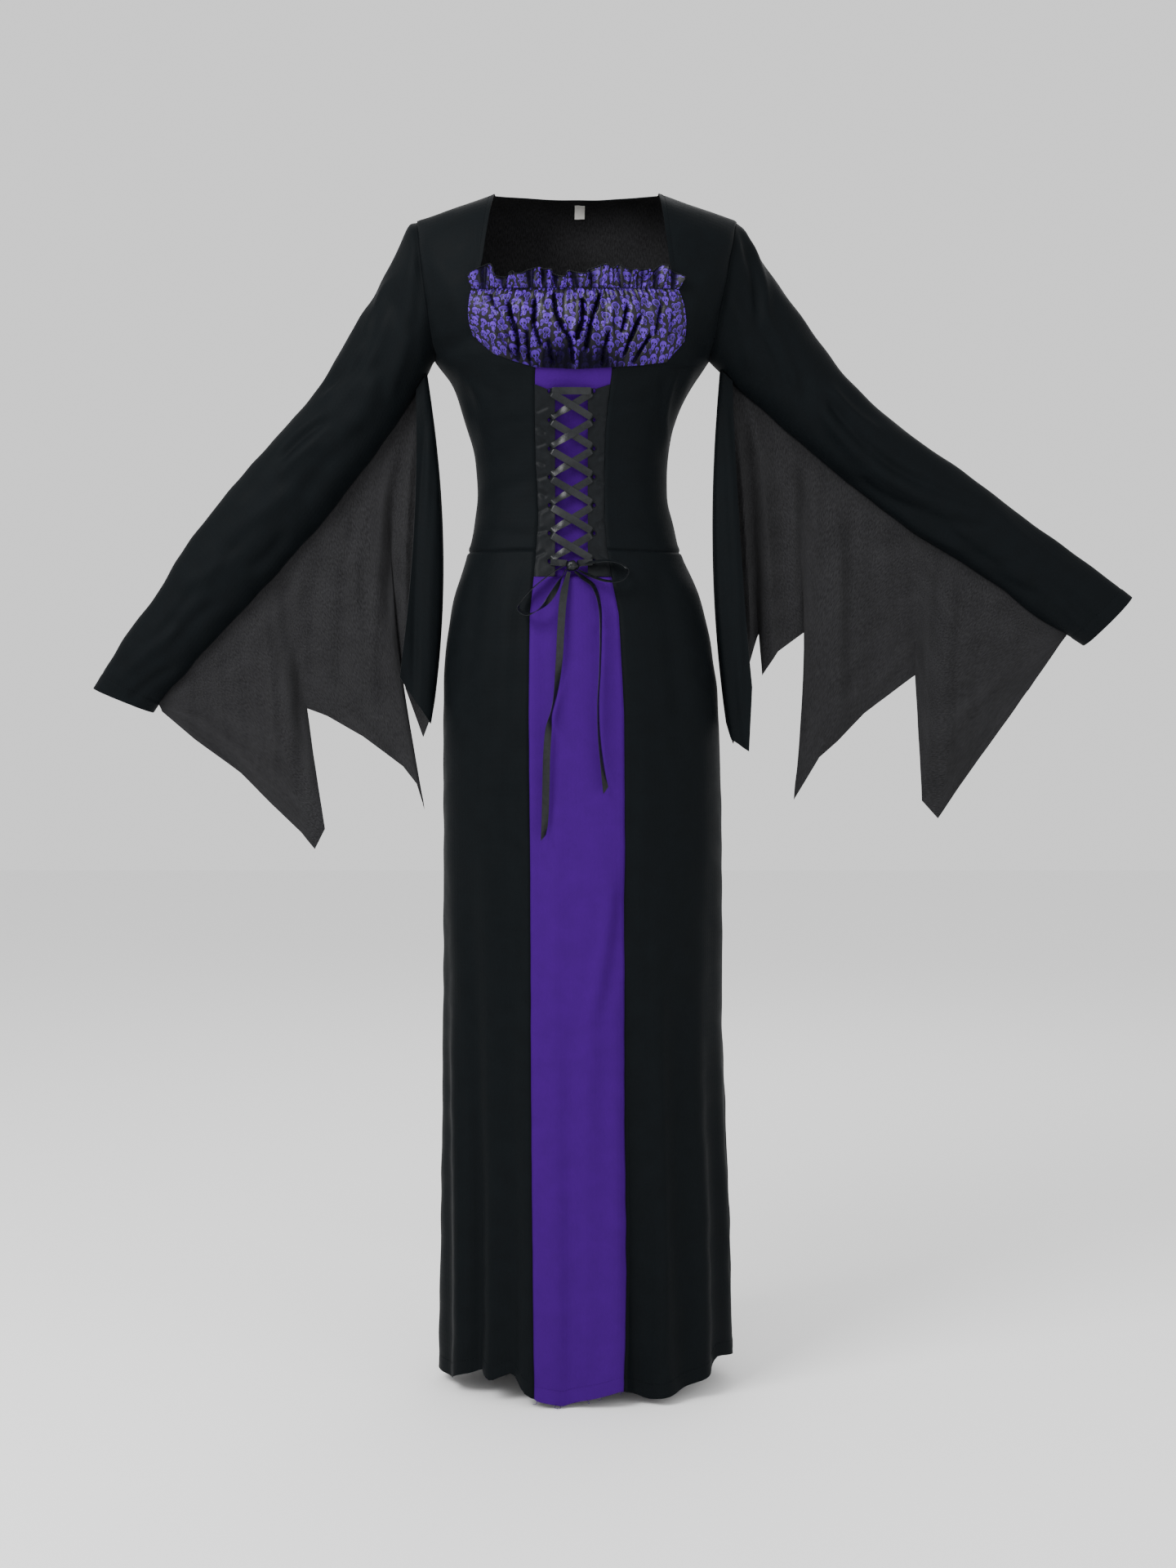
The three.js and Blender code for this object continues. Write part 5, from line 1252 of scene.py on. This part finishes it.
class GOWN_OT_bust(bpy.types.Operator):
    """Gathered printed panel, its ruffled heading and the heading's curled edge"""

    bl_idname = "gown.bust"
    bl_label = "Bust"

    def execute(self, context):
        sizes = context.scene.gown_sizes
        thick = sizes.satin / MM
        u = np.linspace(0, 1, 200)
        v = np.linspace(0, 1, 66)[:, None]
        first, last = BUST_OUTLINE[0, 0], BUST_OUTLINE[-1, 0]
        foot = first + (last - first) * (u - 0.035 * np.sin(2 * np.pi * u))
        low = straight(foot, BUST_OUTLINE[:, 0], BUST_OUTLINE[:, 1])
        z = BUST_TOP + (low - BUST_TOP) * v
        x = (-120 + 237 * u) * (1 - v) + foot * v + 20 * (2 * u - 1) * v * (1 - v)
        # the panel puffs out 9 mm at its middle
        out = LAYER + 1.0 + 9 * np.sin(np.pi * u) ** 0.7 * np.sin(np.pi * v) ** 0.8
        middle = np.sin(np.pi * u) ** 0.5
        depth = 1.25 * relief(x, z, BUST_CREASES) * smooth(v / 0.1) * smooth((1 - v) / 0.06)
        wander = 2.2 * np.sin(17 * u + 2) + 1.4 * np.sin(31 * u)
        round_u = 2 * np.pi * u
        top_gathers = 0.9 * np.sin(ELASTIC_GATHERS * round_u + wander) * bell(v, 0.2)
        foot_gathers = 1.3 * np.sin(FOOT_GATHERS * round_u + 1.6 * wander)
        foot_gathers = foot_gathers * bell(1 - v, 0.22) * middle
        slack = np.sin(SLACK_FOLDS * round_u + wander + 2 * v) * np.sin(np.pi * v) * middle
        gathers = top_gathers + foot_gathers * bell(x + 4, 70)
        out = out + depth + gathers + slack
        out = np.maximum(out, 0.9) - 0.5 * bell(1 - v, 0.02) - 0.8 * bell(v, 0.03)
        points = on_front(x, z, out)
        # painted shade: how dark the print is painted in the creases' troughs, in the gathers'
        # hollows and along the middle of the panel's foot
        crushed = smooth((-0.7 - depth) / 2.8) + 0.55 * smooth(-gathers / 1.2)
        foot_painted_shade = bell(1 - v, 0.3) * (0.75 + 0.45 * np.sin(27 * u + 1.2) * np.sin(61 * u))
        crushed = np.clip(crushed + 1.5 * foot_painted_shade * bell(x + 4, 66), 0, 1)
        cloth_u = np.broadcast_to((u - 0.5) * BUST_CLOTH[0], z.shape)
        cloth_v = np.broadcast_to(-v * BUST_CLOTH[1], z.shape)
        panel = sew_cloth(
            "bust_panel_cloth", points, (0, -1, 0), thick, [MATERIALS["print"]],
            flat=np.stack([cloth_u, cloth_v], -1), crushed=crushed)
        finish_piece(panel, "print_satin", "bust_panel")

        u = np.linspace(0, 1, 420)
        v = np.linspace(0, 1, 18)[:, None]
        x = -119 + 235 * u
        top = curved(x, RUFFLE_EDGE[:, 0], RUFFLE_EDGE[:, 1])
        z = BUST_TOP + 0.4 + (top - BUST_TOP - 0.4) * v
        wander = 1.8 * np.sin(13 * u + 1) + 1.1 * np.sin(29 * u + 2)
        round_u = 2 * np.pi * u
        swing = np.sin(RUFFLE_WAVES * round_u + wander)
        swing = swing + 0.5 * np.sin((2 * RUFFLE_WAVES + 1) * round_u + 2 * wander)
        gathers = 0.8 * np.sin(ELASTIC_GATHERS * round_u + wander) * (1 - 0.5 * v)
        out = LAYER + 1.2 + v**0.8 * (5 + sizes.ruffle_swing / MM * swing) + gathers
        lean = 3.2 * np.sin(RUFFLE_WAVES * round_u + wander + 1.3) * v
        points = on_front(x + lean, z, np.maximum(out, 0.9))
        cloth_u = np.broadcast_to((u - 0.5) * RUFFLE_CLOTH[0], z.shape)
        cloth_v = np.broadcast_to(v * RUFFLE_CLOTH[1], z.shape)
        # the ruffle's print is painted in shade in the hollows of its waves and gathers
        ruffle = sew_cloth(
            "bust_ruffle_cloth", points, (0, -1, 0), thick, [MATERIALS["print"]],
            flat=np.stack([cloth_u, cloth_v], -1),
            crushed=np.clip(0.85 * smooth(-swing / 1.3) + 0.5 * smooth(-gathers) * (1 - v), 0, 1))
        finish_piece(ruffle, "print_satin", "bust_ruffle")
        curl = 0.35 * np.sin(np.arange(len(u)) * 2.1)
        edge = points[-1] + np.stack([np.zeros_like(curl), -0.4 + curl * 0.6, curl + 0.2], -1)
        trim = threads("ruffle_edge", [edge], 0.75, MATERIALS["placket"], 7)
        finish_piece(trim, "placket_satin")
        x = np.linspace(-116, 113, 240)
        level = np.full_like(x, BUST_TOP)
        line = on_front(x, BUST_TOP - 0.6 + 0.5 * np.sin(x / 7), 2.5 + 0.7 * np.sin(x / 1.9))
        ways = stitches(line, on_front(x, level, 1.0) - on_front(x, level), 2.6, 0.6, 0.2)
        stitching("bust_elastic", ways, sizes.thread / MM, "placket", "placket_satin")
        return {"FINISHED"}


class GOWN_OT_plackets(bpy.types.Operator):
    """Purple modesty panel, both satin plackets and their sewn eyelets"""

    bl_idname = "gown.plackets"
    bl_label = "Plackets"

    def execute(self, context):
        knit = 1.2
        z = levels(BUST_FOOT + 2.5, POINT, 3.5)[:, None]
        left, right = seam_x("left", z), seam_x("right", z)
        x = left + (right - left) * np.linspace(0, 1, 36)
        across = (x - left) / (right - left)
        pulls = 0.7 * np.sin(z / 5.2 + 2 * across) * bell(across - 0.5, 0.4)
        hollow = 5 * np.sin(np.pi * across) ** 2 * smooth((BUST_FOOT - z) / 30)
        points = on_front(x, z + 0 * x, -(knit + LAYER) - 0.6 - 0.6 * np.abs(pulls) - hollow)
        panel = sew_cloth("modesty_panel_cloth", points, (0, -1, 0), 1.0, [MATERIALS["purple"]])
        finish_piece(panel, "purple_knit", "modesty_panel")
        for name, side in (("placket_right", "left"), ("placket_left", "right")):
            self.placket(context.scene.gown_sizes.satin / MM, name, side)
        return {"FINISHED"}

    def placket(self, thickness, name, side):
        """A satin strip with seven holes; its free top corner is cut away at a slant."""
        share = np.linspace(0, 1, 25)
        v = np.linspace(0, 1, 232)[:, None]
        top = PLACKET_TOP - PLACKET_SLANT * share
        z = top + (POINT - top) * v
        seam = seam_x(side, z)
        x = seam + (PLACKET_EDGE[side] - seam) * share
        plain = on_front(x, z)
        away = edge_distances(plain)
        out = relief(x, z, PLACKET_CREASES) + unevenness(plain, 0.35, 18, 8)
        out = out + 0.5 * seam_line(away["left"]) + 0.35 * bell(away["right"], 2.5)
        hole = np.full(z.shape, 99.0)
        for k in range(EYELETS):
            dx, dz = x - EYELET_X[side], z - eyelet_height(k)
            far = np.hypot(dx, dz)
            near = np.abs(far - EYELET_RADIUS) < 0.55
            grow = np.where(near, EYELET_RADIUS / np.maximum(far, 1e-3), 1)
            x, z = EYELET_X[side] + dx * grow, eyelet_height(k) + dz * grow
            hole = np.minimum(hole, np.where(near, EYELET_RADIUS, far))
            out = out - 0.5 * bell(far, 5)
        points = on_front(x, z, out)
        rows, cols = z.shape
        faces, corners = facing(*grid_faces(rows, cols), surface_normals(points)[rows // 2, 2])
        keep = (hole.ravel()[faces] > EYELET_RADIUS - 0.1).all(1)
        uvs = flat_places(points)[corners[keep][..., 0], corners[keep][..., 1]]
        piece = make_mesh(
            name + "_cloth", points.reshape(-1, 3), faces[keep].tolist(), [MATERIALS["placket"]],
            uvs)
        pick(piece)
        bpy.ops.object.mode_set(mode="EDIT")
        bpy.ops.mesh.select_all(action="SELECT")
        bpy.ops.mesh.delete_loose(use_verts=True, use_edges=True, use_faces=False)
        bpy.ops.object.mode_set(mode="OBJECT")
        thicken(piece, thickness)
        finish_piece(piece, "placket_satin", name)
        angle = np.linspace(0, 2 * np.pi, 25)
        # buttonhole stitches pucker the rim a little
        reach = EYELET_RADIUS + 0.35 + 0.08 * np.sin(angle * 12)
        ring_x, ring_z = EYELET_X[side] + reach * np.cos(angle), reach * np.sin(angle)
        rings = [on_front(ring_x, eyelet_height(k) + ring_z, 0.1) for k in range(EYELETS)]
        eyelets = threads(name + "_eyelets", rings, 0.42, MATERIALS["placket"], 7)
        finish_piece(eyelets, "placket_satin")


class GOWN_OT_skirt(bpy.types.Operator):
    """Two black front panels, the purple centre panel and the black back panel"""

    bl_idname = "gown.skirt"
    bl_label = "Skirt"

    # name, first and last edge as a front seam or a turn, top, columns, colour, flat width and
    # length, flat area, panels beside it
    PANELS = (
        ("skirt_front_right", -SIDE, "left", WAIST, 34, "black",
         (0.19, 0.985), 0.15, ["skirt_back"]),
        ("skirt_centre", "left", "right", POINT, 26, "purple",
         (0.125, 0.955), 0.109, ["skirt_front_right", "skirt_front_left"]),
        ("skirt_front_left", "right", SIDE, WAIST, 34, "black",
         (0.21, 0.985), 0.165, ["skirt_back"]),
        ("skirt_back", math.pi - SIDE, math.pi + SIDE, WAIST, 92, "black",
         (0.52, 0.985), 0.445, ["skirt_front_right", "skirt_front_left"]),
    )

    def execute(self, context):
        sizes = context.scene.gown_sizes
        thick, radius = sizes.cloth / MM, sizes.thread / MM
        edges = (
            ("left", SEAM, *EVERYWHERE), ("right", SEAM, *EVERYWHERE),
            ("first", SEAM, *EVERYWHERE), ("last", SKIRT_HEM, *EVERYWHERE),
        )
        for name, first, last, top, count, colour, flat, area, beside in self.PANELS:
            z = levels(top, HEM, 6)[:, None]
            start, end = (
                seam_turn(edge, z) if isinstance(edge, str) else edge + 0 * z
                for edge in (first, last))
            ends = body(np.concatenate([start, end], 1), z)
            width = np.maximum(np.linalg.norm(ends[:, 0] - ends[:, 1], axis=-1), 60)
            turn = start + (end - start) * shares(width, count)
            creases = BACK_CREASES if name == "skirt_back" else FRONT_CREASES
            piece, moved, normals = dress_body(
                name, turn, hemmed(turn, z), creases, edges, thick, colour)
            slot = colour + "_knit"
            finish_piece(piece, slot, name)
            near = np.argmin(np.abs(edge_distances(moved)["last"] - SKIRT_HEM), 0)
            pickup = (near, np.arange(moved.shape[1]))
            ways = stitches(moved[pickup], normals[pickup])
            extra = [stitching(name, ways, radius, colour, slot)]
            if colour == "purple":
                extra.append(self.loose_threads(moved[-1], radius))
        return {"FINISHED"}

    def loose_threads(self, edge, radius):
        """A few threads that came out of the centre panel's hem."""
        ways = []
        for at in (0.12, 0.3, 0.34, 0.58, 0.71, 0.9):
            start = edge[round(at * (len(edge) - 1))]
            t = np.linspace(0, 1, 9)
            length = rng.uniform(5, 13)
            lean = rng.uniform(-6, 6)
            bend = rng.uniform(-3, 3)
            way = start + np.stack([
                lean * t + bend * np.sin(3 * t), -3 * t - 1.0,
                1.0 - np.minimum(length * t, 3.2) * smooth(t * 3)], -1)
            ways.append(way)
        made = threads("hem_threads", ways, radius, MATERIALS["purple"])
        return finish_piece(made, "purple_knit")


def sleeve_at(side, place):
    """Upper x and z, lower x and z, half depth and distance behind at a counted place."""
    table = SLEEVES[side]
    count = np.arange(len(table), dtype=float)
    return [curved(place, count, table[:, k]) for k in range(6)]


class GOWN_OT_sleeves(bpy.types.Operator):
    """Both tapered sleeves with their hemmed cuffs"""

    bl_idname = "gown.sleeves"
    bl_label = "Sleeves"

    def execute(self, context):
        sizes = context.scene.gown_sizes
        thick, radius = sizes.cloth / MM, sizes.thread / MM
        cuts = {"right": ((0.36, 0.66), 0.165), "left": ((0.36, 0.70), 0.17)}
        place = np.concatenate([
            [0, 0.05, 0.12, 0.25, 0.45], np.linspace(0.7, 14.4, 124), np.linspace(14.46, 15, 12)])
        # columns start at the underside and go round by the back and the top
        column = np.arange(SLEEVE_COLUMNS)
        at_back, at_top = SLEEVE_COLUMNS // 4, SLEEVE_COLUMNS // 2
        turn = np.pi + column * 2 * np.pi / SLEEVE_COLUMNS
        front = np.sin(turn) > 0
        lift = (1 + np.cos(turn)) / 2
        weight = smooth((np.abs(np.sin(turn)) - 0.08) / 0.3)
        from_underside = np.minimum(column, SLEEVE_COLUMNS - column) * 3.2
        for side, (flat, area) in cuts.items():
            up_x, up_z, low_x, low_z, half, behind = (a[:, None] for a in sleeve_at(side, place))
            sign = -1 if side == "right" else 1
            x = low_x + (up_x - low_x) * lift
            y = behind - half * np.sin(turn)
            z = low_z + (up_z - low_z) * lift
            points = np.stack([x, y, z], -1)
            # the sleeve's head is tucked under the bodice's edge, deeper behind than in front
            points[0, :, 0] -= (1.6 + 4.4 * smooth(0.5 - np.sin(turn) * 3)) * sign
            normals = surface_normals(points, True)
            normals *= np.sign(normals[60, at_back, 1])
            rows = SLEEVE_CREASES[side]
            # the back has like creases, flatter and set a little further along
            behind_rows = [(a - sign * 9, b + 7, c - sign * 9, d + 7, -h * 0.75, w * 1.1, k)
                           for a, b, c, d, h, w, k in rows]
            out = np.where(front, relief(x, z, rows), relief(x, z, behind_rows)) * weight
            out = out + unevenness(points, 0.6, 48, 12)
            length = run(points[:, at_back])[:, None]
            from_cuff = length[-1] - length
            out = out + hem_line(from_cuff, CUFF_HEM) + 0.35 * seam_line(length)
            out = out + 0.6 * seam_line(from_underside)
            moved = points + normals * out[..., None]
            name = "sleeve_" + side
            piece = sew_cloth(
                name + "_cloth", moved, normals[len(place) // 2, at_top], thick,
                [MATERIALS["black"], MATERIALS["wrong"]], closed=True)
            finish_piece(piece, "black_knit", name)
            near = int(np.argmin(np.abs(from_cuff[:, 0] - CUFF_HEM)))
            ring, out_ring = (np.concatenate([a[near], a[near][:1]]) for a in (moved, normals))
            stitching(name, stitches(ring, out_ring), radius)
        return {"FINISHED"}


class GOWN_OT_wings(bpy.types.Operator):
    """Both wings under the sleeves, with zigzag hems and their inner edges folded forward"""

    bl_idname = "gown.wings"
    bl_label = "Wings"

    def execute(self, context):
        thick = context.scene.gown_sizes.cloth / MM
        cuts = {"right": ((0.56, 0.46), 0.125), "left": ((0.64, 0.45), 0.15)}
        for side, (flat, area) in cuts.items():
            table = WINGS[side]
            count = np.arange(len(table), dtype=float)
            folded_from = len(table) - 7
            at = np.unique(np.concatenate([
                np.linspace(a, a + 1, 8 if a < folded_from else 6) for a in count[:-1]]))
            v = np.linspace(0, 1, 56)[:, None]
            seam, ahead, mid = (curved(at, count, table[:, k]) for k in range(3))
            hem_x, hem_z = (straight(at, count, table[:, k]) for k in (3, 4))
            push = curved(at, count, table[:, 5])
            up_x, up_z, low_x, low_z, _, behind = sleeve_at(side, seam)
            # the seam lies 1.1 mm inside the sleeve's lower edge
            inset = unit(np.stack([up_x - low_x, up_z - low_z], -1)) * 1.1
            top_x, top_z = low_x + inset[:, 0], low_z + inset[:, 1]
            bow = 4 * v * (1 - v) * (mid - (top_x + hem_x) / 2)
            x = top_x + (hem_x - top_x) * v + bow
            y = behind - ahead - push * v
            z = top_z + (hem_z - top_z) * v
            points = np.stack([x, y, z], -1)
            flat_part = smooth((folded_from + 0.5 - at) / 2)
            swell = relief(x, z, WING_CREASES[side]) * smooth(v / 0.12) * (0.35 + 0.65 * flat_part)
            ripple = unevenness(points, 0.9, 55, 21) * smooth(v / 0.1)
            points[..., 1] -= swell + ripple * flat_part
            name = "wing_" + side
            piece = sew_cloth(
                name + "_cloth", points, (0, -1, 0), thick,
                [MATERIALS["wrong"], MATERIALS["black"]])
            finish_piece(piece, "wing_knit", name)
        return {"FINISHED"}


class GOWN_OT_label(bpy.types.Operator):
    """Blank size label inside the back neck"""

    bl_idname = "gown.label"
    bl_label = "Label"

    def execute(self, context):
        u = np.linspace(-0.5, 0.5, 25)
        v = np.linspace(0, 1, 29)[:, None]
        turn = np.broadcast_to(np.pi - turn_at(3.5 + 12 * u, 0.0), (len(v), len(u)))
        z = NECK_HEIGHT + NAPE_RISE - 2.4 - 13 * v + 0 * turn
        slope = body(turn, z + 1) - body(turn, z - 1)
        inward = np.stack([0 * z, -slope[..., 2], slope[..., 1]], -1)
        lift = 2.4 + 0.8 * v**2 + 0.25 * np.sin(6 * u + 3 * v)
        points = body(turn, z) + unit(inward) * lift[..., None]
        label = sew_cloth("size_label_tape", points, (0, -1, 0), 0.4, [MATERIALS["label"]])
        finish_piece(label, "label_tape", "size_label")
        return {"FINISHED"}


STEPS = (
    GOWN_OT_stage, GOWN_OT_bow, GOWN_OT_lacing, GOWN_OT_bodice, GOWN_OT_bust, GOWN_OT_plackets,
    GOWN_OT_skirt, GOWN_OT_sleeves, GOWN_OT_wings, GOWN_OT_label,
)


class GOWN_PT_panel(bpy.types.Panel):
    """Lists the sizes, the colours and the steps"""

    bl_idname = "GOWN_PT_panel"
    bl_label = "Witch gown"
    bl_space_type = "VIEW_3D"
    bl_region_type = "UI"
    bl_category = "Gown"

    def draw(self, context):
        for group in (context.scene.gown_sizes, context.scene.gown_colours):
            for name in group.__annotations__:
                self.layout.prop(group, name)
        for step in STEPS:
            self.layout.operator(step.bl_idname)


CLASSES = (GownSizes, GownColours, *STEPS, GOWN_PT_panel)


def register():
    for each in CLASSES:
        bpy.utils.register_class(each)
    bpy.types.Scene.gown_sizes = bpy.props.PointerProperty(type=GownSizes)
    bpy.types.Scene.gown_colours = bpy.props.PointerProperty(type=GownColours)


def unregister():
    del bpy.types.Scene.gown_colours
    del bpy.types.Scene.gown_sizes
    for each in reversed(CLASSES):
        bpy.utils.unregister_class(each)


def main():
    register()
    for step in STEPS:
        group, name = step.bl_idname.split(".")
        getattr(getattr(bpy.ops, group), name)()


if __name__ == "__main__":
    main()
